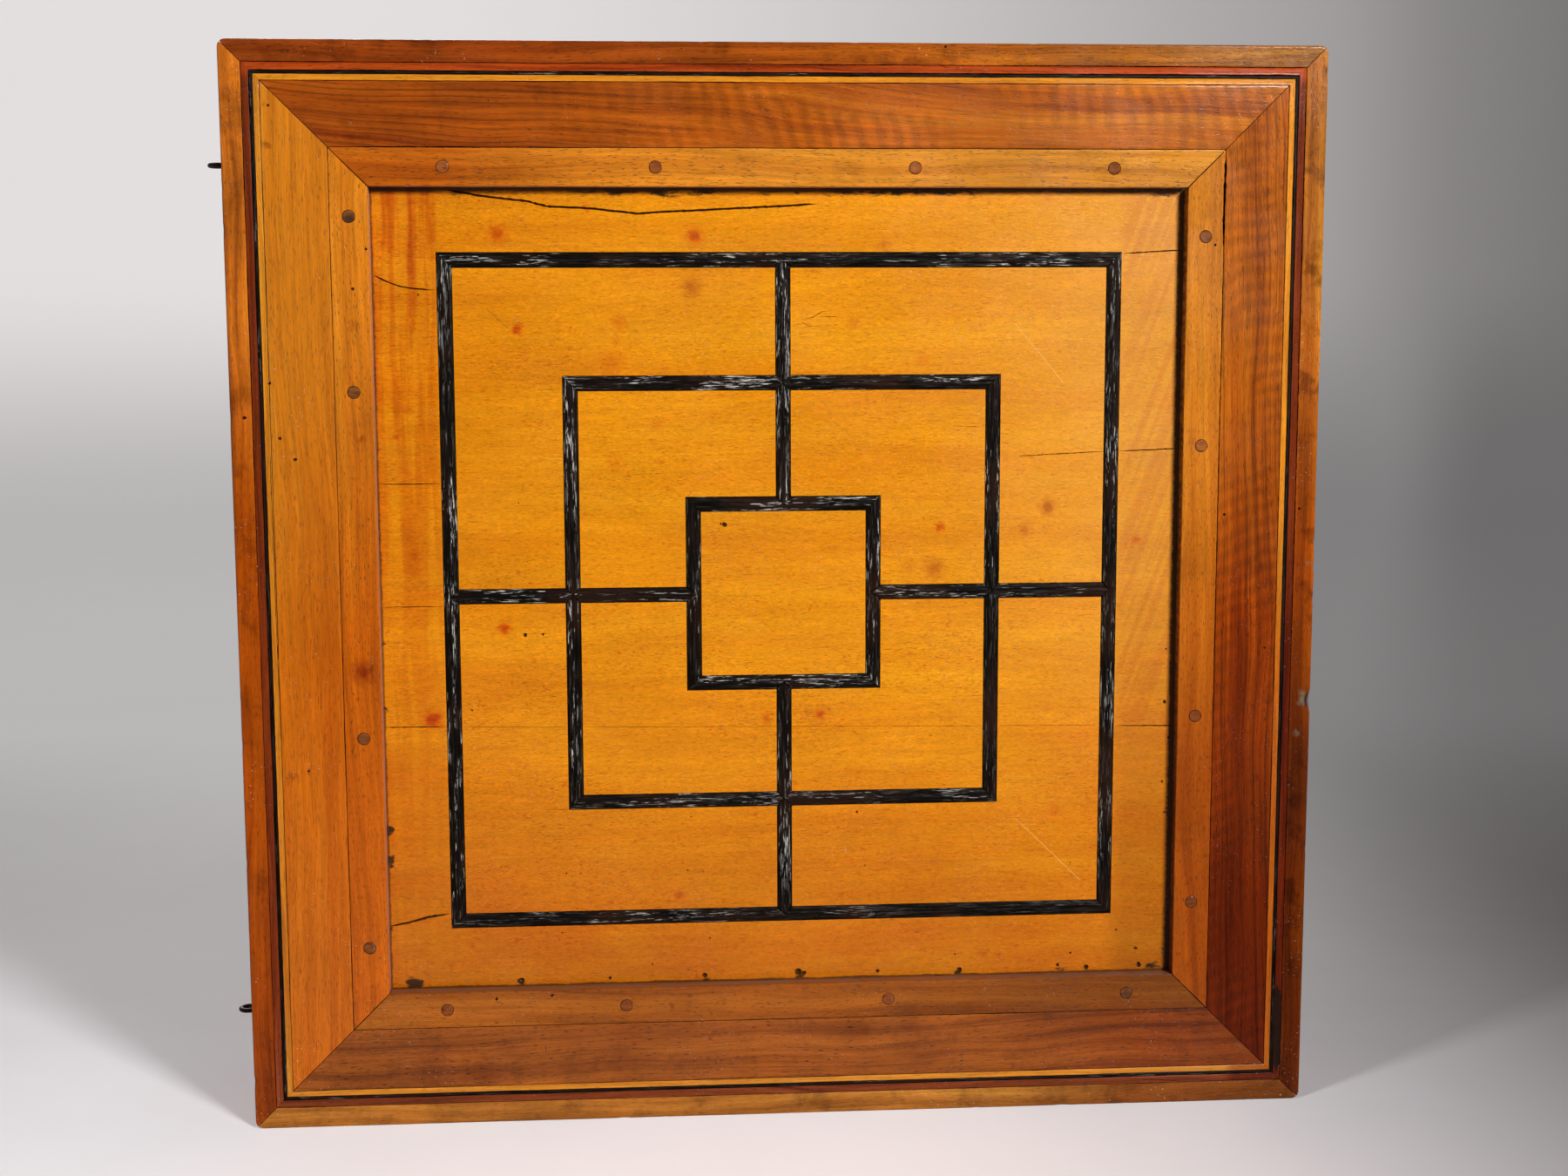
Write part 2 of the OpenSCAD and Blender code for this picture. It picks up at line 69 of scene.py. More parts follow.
BOTTOM, RIGHT, TOP, LEFT = range(4)
SIDE_NAMES = ("bottom", "right", "top", "left")
# The axis that each side runs along, by name and by number
GRAIN, AXES = "XZXZ", (0, 2, 0, 2)
# First seeds of the wear of each kind of piece
REAR_WALL_SEED, REAR_BORDER_SEED = 11, 13
BORDER_SEED, STRIP_SEED, STRING_SEED, PEG_SEED = 100, 130, 160, 200
LINE_SEED, SPOKE_SEED, FIELD_SEED, FACE_SEED = 300, 350, 400, 600
# Distance between the sections of a piece
FRAME_PITCH, STRING_PITCH, LINE_PITCH, CUT_PITCH = 1.6, 1.8, 1.2, 1.1
# Damage reaches this far to both sides of its middle line at most
DAMAGE_REACH = 3.5

# Old damage on the mill side, in x and z. A cut is its half width, its depth and its points
FIELD_Y = -35.65
FIELD_CUTS = (
    (0.48, 1.2, (-137, 391.5), (-128, 390), (-123, 389), (-104, 386.9), (-96.3, 384.8), (-78.7, 384.1),
     (-59.6, 382), (-48.2, 382.8), (-31.8, 383.5), (-19, 384.2), (0.7, 385.1), (14, 386)),
    (0.13, 0.5, (7.4, 339), (12.1, 339.7), (13.8, 340.6), (16.3, 342.2), (19.2, 342.3)),
    (0.15, 0.5, (14.6, 340.2), (24.6, 339.9)),
    (0.12, 0.5, (7.4, 339.2), (8.3, 337.7), (10.5, 336.4), (12.7, 336), (16, 336.2)),
    (0.34, 0.9, (-168, 357.9), (-162.7, 355.1), (-155.8, 352.6), (-149.5, 351.7), (-142, 351.1)),
    (0.50, 1.2, (-168, 84.9), (-159.1, 86.5), (-151.7, 88.4), (-142, 90)),
    (0.20, 0.8, (-168, 272.1), (-142, 272.1)),
    (0.15, 0.7, (-168, 221.1), (-142, 221.1)),
    (0.24, 0.8, (-168, 170.4), (-142, 170.4)),
    (0.28, 0.9, (142, 365.8), (168, 367.3)),
    (0.26, 0.9, (142, 283.6), (168, 284.6)),
    (0.18, 0.7, (98, 281.8), (114.2, 282.6), (135.5, 283.5)),
    (0.26, 0.9, (142, 166.1), (168, 165.7)),
    (0.09, 0.5, (-134.6, 170.2), (-91.6, 169.3)),
    (0.08, 0.5, (-84.4, 169.2), (-7.4, 168.2), (84.4, 167)),
    (0.08, 0.5, (91.6, 167), (134.6, 166.4)),
    (0.10, 0.4, (69.8, 294.7), (77, 294.3), (84.8, 294.5)),
    (0.08, 0.4, (-103, 134.1), (-90, 133.9)),
    (0.07, 0.4, (-99.4, 316.1), (-90, 315.9)),
    (0.07, 0.4, (-101, 310.6), (-91, 310.5)),
    (0.07, 0.4, (-46, 266.1), (-40, 265.9)),
    (0.08, 0.4, (-147.2, 93), (-141, 92.9)),
    (0.07, 0.4, (-144, 364.2), (-140, 364)),
)
# A pit is x, z and its radius
FIELD_PITS = (
    (-92.8, 106.3, 0.45), (-86.7, 106.2, 0.4), (-41.4, 106.6, 0.45), (-34.9, 105.8, 0.4),
    (-39.8, 129.7, 0.4), (-32.1, 76.6, 0.5), (-56.7, 65.7, 0.5), (-41.5, 63, 0.4), (-120.2, 109.5, 0.4),
    (-95.1, 80.5, 0.4), (31, 130.5, 0.6), (34.4, 107, 0.4), (123.5, 106.3, 0.4), (124.1, 66.2, 0.6),
    (152.8, 67.7, 0.8), (144.1, 76, 0.6), (73.6, 66.9, 0.5), (-149, 349.3, 0.5), (-108.1, 208.7, 0.9),
    (-100.8, 208.9, 0.7), (-109.9, 263.9, 0.4), (-24.8, 254.2, 1.1), (-26.3, 254.5, 0.6),
    (-130.9, 177.1, 0.5), (163, 141.3, 0.6), (165.4, 160.6, 0.6), (163.4, 176.2, 0.8), (163.6, 199, 0.5),
    (-113.7, 59.6, 0.9), (-112.4, 59.9, 0.6), (-34.4, 60.3, 1.2), (5.6, 60.8, 1.6), (8.4, 60.2, 1.0),
    (75.6, 60, 1.2), (118.6, 61, 0.8), (154.2, 60.2, 1.4), (-112.5, 60.0, 1.3), (40.0, 60.2, 0.9),
    (-75.0, 60.1, 0.8), (131.0, 59.8, 1.2),
)
# Soft orange stains: x, z, radius and strength
STAINS = (
    (-116.3, 373.8, 4.6, 0.6), (-36.1, 372.9, 4.6, 0.62), (-108.9, 335.3, 3.0, 0.65),
    (-116.8, 211.7, 3.6, 0.75), (-147.1, 173.5, 4.6, 0.8), (-7.4, 171.9, 2.8, 0.5),
    (15.2, 173.1, 3.2, 0.6), (-152.8, 242.5, 2.2, 0.4), (65.7, 252.2, 2.6, 0.6),
    (-67.4, 337.6, 3.4, 0.4), (-87.4, 336.0, 1.4, 0.5), (-68.8, 330.3, 2.4, 0.35),
    (-71.1, 321.4, 6.0, 0.32), (58.2, 322.2, 3.0, 0.3), (29.4, 337.1, 3.0, 0.3), (-44.8, 95.6, 2.8, 0.5),
    (116.6, 129.2, 2.6, 0.4), (-154.0, 302.9, 2.6, 0.35), (-52, 296, 3.0, 0.3), (-146, 226, 3.0, 0.3),
    (150, 246, 2.4, 0.5), (-70, 280, 5.0, 0.25), (-80.5, 384, 2.0, 0.5),
)
# Brown flames at the left of the field: ends in x and z, width and strength
FLAMES = (
    ((-149.5, 394), (-151, 360), 6.0, 0.75), ((-143.5, 392), (-143.5, 372), 3.5, 0.6),
    ((-160, 394), (-162, 370), 4.5, 0.5), ((-147, 345), (-148, 326), 3.5, 0.4),
    ((-156, 256), (-154, 236), 5.0, 0.35),
)
# Greyish purple bruises
BRUISES = (
    (-37.5, 351.9, 5.0, 0.5), (111.5, 260.3, 4.4, 0.55), (102.0, 250.6, 3.0, 0.4),
    (63.5, 234.9, 5.4, 0.5), (53.0, 236.5, 3.4, 0.3), (41.4, 369.5, 3.2, 0.35), (-158.5, 303, 3.2, 0.3),
    (85.4, 66.9, 2.0, 0.4), (9.7, 174, 2.0, 0.35),
)
FACE_CUTS = (
    (0.30, 0.9, (-103.6, 33.4), (-102.5, 33.2), (-102.5, 30.0)),
    (0.14, 0.7, (-209.4, 287), (-209.4, 271.5), (-209.3, 243), (-209.1, 185)),
    (0.50, 2.2, (182.9, 405.5), (182.8, 396), (182.6, 383.7), (182.7, 368)),
    (0.26, 1.2, (-171, 407.9), (-150, 407.9), (-120, 407.8)),
    (0.22, 1.2, (182.8, 360), (182.8, 300), (182.8, 250), (182.8, 165)),
    (0.16, 0.5, (146, 11.3), (160, 10.6), (175, 9.2)),
    (0.20, 1.0, (88, 441), (150, 441.1), (205, 440.9), (215.6, 441.2)),
    (0.16, 0.9, (-50, 441), (30, 440.9), (80, 441)),
    (0.24, 1.0, (215.9, 430), (215.9, 380), (216, 300), (216, 225)),
    (0.20, 0.8, (-215.9, 430), (-215.9, 330), (-216, 240)),
    (2.60, 0.9, (214.4, 12.4), (214.3, 30), (213.8, 52)),
)
FACE_PITS = (
    (-208.7, 313.9, 0.8), (-205.2, 291.6, 0.8), (-199.4, 283, 0.8), (-219.2, 300, 0.9),
    (179.2, 369.1, 0.7), (-198, 153.7, 0.6), (174.9, 372.5, 0.7), (217.7, 259.1, 0.7), (204.4, 200, 0.6),
    (-122.7, 54.2, 0.8), (-99.4, 55.1, 0.7), (185.6, 257, 0.7), (-174.4, 351.6, 0.8),
    (-118.5, 426.3, 0.4), (66, 448.4, 0.7), (-205.6, 424, 0.6), (-168.6, 367.5, 0.8),
)
# Knocks along the outer arris: along the side, half length and depth
KNOCKS = {
    BOTTOM: ((-70.0, 3.0, 0.8), (120.0, 4.0, 0.6)),
    RIGHT: ((-48.0, 5.0, 2.6), (19.3, 2.4, 0.9), (9.4, 2.0, 0.9), (213.7, 3.0, 0.8), (-5.0, 1.8, 0.7)),
    TOP: ((-29.3, 2.0, 0.9), (-102.4, 2.6, 0.9), (-66.0, 3.0, 0.5), (170.0, 3.0, 0.5)),
    LEFT: ((-150.0, 3.0, 0.7), (-75.0, 4.0, 0.6), (60.0, 3.0, 0.7), (110.0, 2.6, 0.9), (205.0, 3.0, 0.9)),
}

# Fine scratches of the field: two ends in x and z, tint and strength
SCRATCHES = (
    ((97.1, 336.9), (117.5, 312.5), (0.95, 0.60, 0.20), 0.35),
    ((99.6, 126.1), (127.9, 98.6), (0.95, 0.55, 0.18), 0.30),
    ((-121.3, 343.6), (-113.2, 336.0), (0.30, 0.10, 0.01), 0.45),
    ((39.1, 108.3), (107.8, 108.3), (0.34, 0.12, 0.02), 0.40),
    ((74.2, 95.2), (79.4, 100.5), (0.34, 0.12, 0.02), 0.35),
)
# Sooty corners and patches: x, z, radius and strength
SOOT = (
    (-140, 393.2, 6.0, 0.6), (-48, 394.0, 9.0, 0.7), (-30, 394.0, 7.0, 0.6), (5, 393, 5.0, 0.6),
    (100, 393, 6.0, 0.5), (165, 388, 4.5, 0.35), (6, 59.2, 3.4, 0.8), (-34, 58.6, 3.0, 0.7),
    (75.6, 58.6, 2.6, 0.6), (-112, 58.6, 3.0, 0.7), (131, 58.4, 4.0, 0.6), (-166, 60, 5.0, 0.4),
    (-158, 59.6, 5.0, 1.0), (-167, 126, 3.5, 0.9), (-167, 113, 4.0, 0.9), (-167, 178, 2.5, 0.8),
    (-167, 206, 2.0, 0.7), (-167, 84, 2.6, 0.8), (-167, 243, 2.6, 0.6), (160, 57.6, 7.0, 0.7),
    (166, 66, 4.0, 0.6), (120, 57.4, 5.0, 0.6), (166.5, 130, 5.0, 0.6), (167, 150, 4.0, 0.5),
    (167, 100, 4.0, 0.5),
)
# Painted shadow under the frame's top and right sides, and grime along its left and bottom sides, where the
# panel meets its frame: axis, where it starts, where it is full, strength
SHADOW_AND_GRIME_LINES = (
    (2, 390.3, 391.2, 0.9), (0, 164.9, 165.9, 0.92), (0, -166.4, -167.0, 0.7), (2, 58.6, 58.0, 0.8),
)
# Nearly black pegs, chips of the rim, and knots and smoky patches: x, z, radius and strength
DARK_PEGS = (
    (-175.1, 378.8, 3.4, 0.95), (175.2, 376.5, 3.4, 0.7), (147.4, 49.9, 3.4, 0.75),
    (-143, 400, 3.4, 0.25),
)
CHIPS = (
    (222.2, 177.0, 2.6, 0.95), (221.6, 180.0, 2.0, 0.8), (219.6, 163.0, 1.6, 0.5),
    (222.4, 236.0, 1.0, 0.7),
)
STRIP_STAINS = (
    (-174.5, 195, 5.5, 0.95), (-172.3, 291.3, 1.8, 0.8), (-174, 337, 3.0, 0.35), (-48.9, 49.1, 1.6, 0.7),
    (-172.5, 222, 2.6, 0.3), (174.5, 206, 1.8, 0.4), (30, 399, 3.0, 0.2),
)
# The same for two of the borders, with their tint
BORDER_STAINS = {
    BOTTOM: ((
        (-150, 26, 9, 0.7), (-128, 22, 8, 0.8), (-70, 30, 12, 0.4), (60, 26, 12, 0.4), (30, 34, 8, 0.3),
    ), (0.6, 0.5, 0.66)),
    LEFT: ((
        (-206.5, 408.6, 1.8, 0.9), (-204.8, 151.9, 2.2, 0.6), (-198, 153.7, 1.6, 0.6), (-207, 424, 1.4, 0.5),
    ), (0.5, 0.38, 0.3)),
}
# Age and handling, and painted light: the tint from one end of each side to the other, as places and tints;
# painted sheen makes the parts near the top and the upper right paler, and painted shade makes the low parts
# darker
RIM_TINTS = (
    ((90, (1.3, 1.75, 2.5)), (145, (0.6, 0.6, 0.9))),
    ((160, (0.37, 0.31, 0.15)), (250, (1.4, 1.4, 0.5)), (380, (1.45, 2.5, 3.2))),
    ((-110, (0.75, 0.67, 1.1)), (60, (1.25, 1.5, 1.3)), (190, (0.95, 1.75, 2.8))),
    ((150, (0.82, 0.75, 0.3)), (260, (1.0, 0.9, 0.55)), (340, (1.55, 2.3, 3.7))),
)
BORDER_TINTS = (
    ((90, (1.0, 1.0, 0.9)), (160, (0.78, 0.6, 0.56))),
    ((90, (0.36, 0.18, 0.04)), (215, (0.84, 0.56, 0.19)), (330, (1.28, 1.5, 1.4))),
    ((-190, (0.88, 0.8, 0.8)), (190, (1.06, 1.22, 1.1))),
    ((200, (0.88, 0.7, 0.32)), (310, (1.04, 1.15, 1.6))),
)
STRIP_TINTS = (
    ((0, (1.04, 1.0, 0.9)), (150, (0.5, 0.43, 0.42))),
    ((150, (0.63, 0.44, 0.2)), (220, (1.0, 0.92, 0.85)), (340, (1.24, 1.5, 2.0))),
    ((-140, (0.86, 0.6, 0.45)), (-80, (1.13, 1.15, 1.3)), (150, (0.97, 1.15, 1.7))),
    ((210, (0.96, 0.8, 0.32)), (330, (1.15, 1.42, 3.0))),
)
# The same for the light and the red string, from the bottom to the top; both turn lighter at the top as
# painted light
LIGHT_TINTS = (20, (1.25, 1.35, 1.6)), (60, (1.15, 1.0, 0.7)), (370, (1.6, 1.7, 1.5))
RED_TINTS = (10, (1.0, 1.2, 1.9)), (60, (1.0, 0.9, 0.8)), (434, (1.0, 0.9, 0.8)), (438, (2.2, 1.8, 1.1))
# Tones of the sides from dark to light, as display colours
RIM_TONES = (
    ((112, 54, 12), (154, 80, 20), (178, 102, 30)), ((96, 34, 6), (144, 62, 11), (172, 86, 18)),
    ((118, 44, 8), (170, 78, 14), (196, 104, 24)), ((122, 44, 6), (176, 78, 10), (198, 98, 16)),
)
BORDER_TONES = (
    ((98, 45, 15), (145, 73, 19), (166, 90, 25)), ((110, 43, 5), (156, 72, 10), (178, 92, 17)),
    ((130, 50, 7), (180, 86, 12), (198, 109, 22)), ((190, 96, 10), (212, 117, 15), (222, 133, 24)),
)
STRIP_TONES = (
    ((130, 64, 11), (160, 86, 16), (178, 104, 24)), ((164, 84, 12), (192, 104, 16), (206, 120, 22)),
    ((178, 96, 18), (213, 125, 26), (227, 143, 36)), ((176, 87, 7), (208, 107, 9), (220, 124, 15)),
)
# Where the tints of the rim fade in, in y
RIM_FADE = (-38.0, -41.0)
# Colours of dirt, of painted glints, and of soot and painted shadow
DIRT, GLINT_PALE, SOOT_AND_SHADOW_BLACK = (0.010, 0.006, 0.004), (0.66, 0.58, 0.50), (0.014, 0.009, 0.006)

# Wood of the four borders, as wood() takes it
BORDER_GRAIN = {
    BOTTOM: dict(broad=(260, 6), slant=-0.02, lines=0.30, pitch=1.4, pores=0.55, clouds=0.12,
                 cloud=(46, 14), specks=0.2, grime=0.3),
    RIGHT: dict(broad=(260, 7), slant=0.03, lines=0.40, pitch=1.4, keen=(0.52, 0.62), pores=0.4,
                curl=0.11, curl_pitch=7.0, curl_lean=-0.3, clouds=0.16, cloud=(60, 22), specks=0.12,
                gloss=0.2, grime=0.3),
    TOP: dict(broad=(220, 7), slant=0.045, lines=0.40, pitch=1.3, keen=(0.50, 0.60), pores=0.35,
              curl=0.15, curl_pitch=7.4, curl_lean=0.22, clouds=0.14, cloud=(50, 20), specks=0.2,
              grime=0.25, turn=(0, -120.0, -20.0)),
    LEFT: dict(broad=(300, 9), lines=0.12, pitch=1.6, fibre=0.10, thread=0.13, pores=0.35, clouds=0.06),
}
# Cells with their own piece of wood, as first corner and size in x and z
SQUARES = ((-160.0, 65.0), (40.0, 40.0))
POINTS = ((-RIM, 0.0), (RIM / 3, HALF))
LEAVES = tuple(f"{row}_{way}_leaf" for row in ("upper", "lower") for way in ("front", "rear"))
# CAD nodes that stay, by the start of their names, and their finish
NODE_FINISH = {
    "mill_plank": "panel", "chess_plank": "rear_panel", "chess_field_line": "black_string",
    "chess_dark_squares": "dark", "chess_light_squares": "pale",
    **{f"{tray}_dark_points": "dark_point" for tray in ("mill", "chess")},
    **{f"{tray}_light_points": "pale_point" for tray in ("mill", "chess")},
    **dict.fromkeys((*LEAVES, "hinge_pins", "front_hinge_screws", "rear_hinge_screws"), "brass"),
    **dict.fromkeys(("front_eyes", "rear_eyes", "upper_hook", "lower_hook"), "iron"),
}
# Radius of the worn edges of some of them
BEVELS = {
    "chess_dark_squares": 0.12, "chess_light_squares": 0.12,
    **dict.fromkeys((*LEAVES, "hinge_pins"), 0.2),
}

# Floor, sweep and wall in metres
FLOOR_R, SWEEP_R, WALL_TOP = 2.9, 0.4, 3.0
# The glow of the unlit room
DIM_GLOW = (0.03, 0.029, 0.029)
# Lamps: name, place, target and size in metres, power in watts, and a link to only or all but the backdrop
LAMPS = (
    ("key_light", (0.86, -1.43, 1.0), (0.0, 0.0, 0.22), 0.31, 32.0, None),
    ("fill_light", (-1.3, -1.6, 1.2), (0.0, 0.0, 0.2), 1.2, 2.0, None),
    ("paper_light", (-0.93, -0.84, 0.8), (0.2, 0.3, 0.0), 0.2, 13.0, "INCLUDE"),
    ("back_light", (-0.5, 1.7, 1.3), (0.0, 0.0, 0.2), 0.9, 26.0, "EXCLUDE"),
)
WORLD_COLOUR, WORLD_STRENGTH = (1.0, 0.97, 0.94, 1.0), 0.12
# The camera was fitted to the corners of the board: metres, axes and millimetres of lens
CAMERA_PLACE = (-0.0580, -0.8783, 0.3317)
CAMERA_RIGHT, CAMERA_FORWARD = (0.9976, -0.0693, -0.0032), (0.0683, 0.9901, -0.1228)
FOCAL_LENGTH, SENSOR_WIDTH = 46.54, 36.0


# Mesh building

def lerp(a, b, t):
    return a + (b - a) * t


def clamp(v, low=0.0, high=1.0):
    return max(low, min(high, v))


def turns(count):
    """Angles of a full turn in equal steps."""
    return [2 * math.pi * i / count for i in range(count)]


def wave(seed, *at):
    """Smooth seeded noise, about -1 to 1."""
    x, y, z = (*at, 0.0, 0.0)[:3]
    return noise.noise(Vector((x + 17.3 * seed, y - 9.1 * seed, z + 4.7 * seed)))


def corner_rounded(x, z):
    """Pulls the square corners of the box in to a circle."""
    dx, dz = abs(x) - (HALF - CORNER_R), abs(z) - (HALF - CORNER_R)
    if dx <= 0 or dz <= 0:
        return x, z
    share = max(dx, dz) / math.hypot(dx, dz)
    return (math.copysign(HALF - CORNER_R + dx * share, x),
            math.copysign(HALF - CORNER_R + dz * share, z))


def place(side, u, w, d, front):
    """Point a distance u along a side, w from the middle and d behind its face."""
    x, z = ((u, -w), (w, u), (-u, w), (-w, -u))[side]
    x, z = corner_rounded(x, z)
    return Vector((x, d - FACE_Y if front else FACE_Y - d, z + HALF)) * MM


def shade(mesh, sharp=35):
    mesh.shade_smooth()
    mesh.set_sharp_from_angle(angle=math.radians(sharp))


def mesh_object(name, bm, sharp=35):
    bmesh.ops.recalc_face_normals(bm, faces=bm.faces)
    mesh = bpy.data.meshes.new(name)
    bm.to_mesh(mesh)
    bm.free()
    shade(mesh, sharp)
    obj = bpy.data.objects.new(name, mesh)
    bpy.context.scene.collection.objects.link(obj)
    return obj


def add_tube(bm, rings, split_caps=False):
    """Joins rings of points to a closed tube; split caps suit pointed ends."""
    loops = [[bm.verts.new(p) for p in ring] for ring in rings]
    count = len(loops[0])
    for a, b in zip(loops, loops[1:]):
        for i in range(count):
            j = (i + 1) % count
            bm.faces.new((a[i], a[j], b[j], b[i]))
    for loop in (loops[0], loops[-1]):
        if split_caps:
            for i in range(count // 2 - 1):
                bm.faces.new((loop[i], loop[i + 1], loop[count - 2 - i], loop[count - 1 - i]))
        else:
            bm.faces.new(loop)


def steps(low, high, pitch, extra=()):
    """Stations from low to high, closer at both ends, with some extra ones."""
    ends = (0.0, 0.4, 0.8, 1.3, 1.9, 2.6, 3.5, 4.8)
    inner = int((high - low - 2 * ends[-1]) / pitch)
    marks = {low + e for e in ends} | {high - e for e in ends}
    marks |= {lerp(low + ends[-1], high - ends[-1], i / inner) for i in range(1, inner)}
    marks |= {e for e in extra if low < e < high}
    return sorted(marks)


def along(big_u, w, outer, reach):
    """Slides a station towards the mitre plane near the ends of a side."""
    t = clamp((abs(big_u) - outer + reach) / reach)
    return math.copysign(abs(big_u) - (outer - w) * t, big_u)


# Frame members

def wear(seed, u, base, spread, chip):
    """Radius of a worn edge at u: gentle wear with a few deeper chips."""
    gentle = base + spread * (0.5 + 0.5 * wave(seed, u / 37.0))
    return gentle + chip * max(0.0, wave(seed + 50, u / 5.0) - 0.35)


def knock(side, u, front):
    """Extra wear where the outer arris has been knocked."""
    if not front:
        return 0.0
    return sum(depth * max(0.0, 1 - ((u - at) / half) ** 2) for at, half, depth in KNOCKS[side])


def softened(w, d, radius, to_w, to_d):
    """Three points that round the corner at w and d; to_w and to_d say where its edges go."""
    far_w, far_d = to_w * radius, to_d * radius
    return [(w + far_w, d), (w + 0.3 * far_w, d + 0.3 * far_d), (w, d + far_d)]


def wall_ring(side, u, front):
    """Section of a wall, from its seam up the outside, over the rim and back."""
    seed = side + (0 if front else REAR_WALL_SEED)
    outer = HALF - 0.14 * (0.5 + 0.5 * wave(seed + 20, u / 60.0))
    near = 0.05 + 0.05 * (1 + wave(seed + 21, u / 45.0))
    seated = side == RIGHT and any(a <= u <= b for a, b in SEATS)
    back = TRAY_D - (LEAF_T if seated else 0.0)
    worn = wear(seed, u, 0.5, 0.5, 1.6) + knock(side, u, front)
    inner = wear(seed + 30, u, 0.10, 0.16, 0.5)
    seam = wear(seed + 40, u, 0.25, 0.3, 0.6)
    edge = RIM + joint_gap(seed + 60, u, 0.05, 0.22)
    ring = softened(outer, back, seam, -1, -1)
    ring += [(outer - 0.05 * (1 + wave(seed + i, u / 30.0)), lerp(back, near, i / 5)) for i in (1, 2, 3, 4)]
    ring.append((outer, near + worn + 0.5))
    for i in range(6):
        angle = math.pi / 2 * i / 5
        ring.append((outer - worn * (1 - math.cos(angle)), near + worn * (1 - math.sin(angle))))
    for share in (0.06, 0.35, 0.65, 0.95):
        w = lerp(outer - worn, edge + inner, share)
        ring.append((w, near + 0.03 * wave(seed + 70, u / 14.0, share * 2)))
    ring += softened(edge, near, inner, 1, 1) + [(RIM + 0.02, STRING_T + 0.3)]
    ring += softened(RIM, TRAY_D, seam, 1, -1)[::-1]
    return ring + [(HALF - LEAF_W - 0.02, TRAY_D), (HALF - LEAF_W, back)]


def joint_gap(seed, u, base, spread):
    """Half width of a joint at u: a hairline that opens here and there."""
    return base + spread * max(0.0, wave(seed, u / 24.0) + 0.4 * wave(seed + 1, u / 4.0))


def board_ring(seed, u, outer, inner, near, far, shelf=None):
    """Section of a flat strip between two half widths, with softened edges."""
    edge_out = wear(seed, u, 0.10, 0.14, 0.5)
    edge_in = wear(seed + 5, u, 0.12, 0.18, 0.6)
    out = outer - joint_gap(seed + 10, u, 0.09, 0.18)
    inn = inner + joint_gap(seed + 12, u, 0.09, 0.18)
    top = near + 0.035 * (1 + wave(seed + 15, u / 30.0))
    ring = [(shelf, far), (shelf, STRING_T + 0.05), (out, STRING_T + 0.05)] if shelf else [(out, far)]
    ring += softened(out, top, edge_out, -1, 1)[::-1]
    for share in (0.03, 0.25, 0.5, 0.75, 0.97):
        w = lerp(out - edge_out, inn + edge_in, share)
        ring.append((w, top + 0.03 * (1 + wave(seed + 16, u / 18.0, w / 8.0))))
    return ring + softened(inn, top, edge_in, 1, 1) + [(inn, far)]


def mitred_rings(side, front, outer, ring_at, end_gap, reach, stations):
    """Sections of one side of a frame; ring_at gives a section and end_gap the gap at the mitre."""
    rings = []
    for big_u in stations:
        ring = []
        for w, d in ring_at(big_u):
            limit = w - end_gap(w)
            ring.append(place(side, clamp(along(big_u, w, outer, reach), -limit, limit), w, d, front))
        rings.append(ring)
    return rings


def finish_piece(obj, material, front, node):
    obj.data.materials.append(material)
    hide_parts(node)
    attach(obj, "mill_half" if front else "chess_half")


def build_side(front, side, kind, outer, carved, ring_at, end_gap, material, marks=(), holes=()):
    """One worn side of a frame, with the damage of the face cut in between two half widths."""
    node = f"{'mill' if front else 'chess'}_{SIDE_NAMES[side]}_{kind}"
    bm = bmesh.new()
    reach = max(2.4 * (outer - min(w for w, d in ring_at(0.0))), 14.0)
    stations = steps(-outer, outer, FRAME_PITCH, marks)
    add_tube(bm, mitred_rings(side, front, outer, ring_at, end_gap, reach, stations))
    obj = mesh_object(node + "_worn", bm)
    if front:
        carve(obj, [side], *carved, holes)
    finish_piece(obj, material, front, node)


def build_walls(front, materials):
    seat_marks = [m + o for a, b in SEATS for m in (a, b) for o in (-0.02, 0.02)]
    for side in range(4):
        build_side(front, side, "wall", HALF, (RIM, HALF), lambda u: wall_ring(side, u, front),
                   lambda w: 0.19 + 0.12 * wave(side + 3, w / 2.0), materials[side],
                   seat_marks if side == RIGHT else ())


def build_borders(front, materials):
    outer, inner = (BORDER, STRIP) if front else (REAR_BORDER, FIELD)
    for side in range(4):
        seed = BORDER_SEED + side + (0 if front else REAR_BORDER_SEED)
        build_side(front, side, "border", RIM, (inner, outer),
                   lambda u: board_ring(seed, u, outer, inner, 0.03, FRAME_T, shelf=RIM),
                   lambda w: 0.19 + 0.16 * max(0.0, wave(seed, w / 7.0)), materials[side])


def build_strips(materials):
    for side in range(4):
        seed = STRIP_SEED + side
        build_side(True, side, "strip", STRIP, (FIELD, STRIP),
                   lambda u: board_ring(seed, u, STRIP, FIELD, 0.05, FRAME_T),
                   lambda w: 0.22 + 0.25 * max(0.0, wave(seed + 2, w / 5.0) + 0.3), materials[side],
                   holes=[peg_holes(side)])


def build_strings(front, rows):
    """Thin mitred strings: rows of (node, slot, material, outer, inner, height)."""
    for node, slot, material, outer, inner, near in rows:
        bm = bmesh.new()
        for side in range(4):
            seed = STRING_SEED + side + outer
            add_tube(bm, mitred_rings(
                side, front, outer, lambda u: board_ring(seed, u, outer, inner, near, STRING_T),
                lambda w: 0.05, 12.0, steps(-outer, outer, STRING_PITCH)))
        obj = mesh_object(node + "_worn", bm)
        if front:
            carve(obj, range(4), inner, outer)
        finish_piece(obj, material, front, node)


# Cuts, cracks and holes

def resample(points):
    """Places along a path with the direction across it: x, z, nx, nz."""
    rows = []
    for a, b in zip(points, points[1:]):
        length = math.dist(a, b)
        count = max(1, round(length / CUT_PITCH))
        nx, nz = -(b[1] - a[1]) / length, (b[0] - a[0]) / length
        for i in range(count + (b is points[-1])):
            rows.append((lerp(a[0], b[0], i / count), lerp(a[1], b[1], i / count), nx, nz))
    return rows


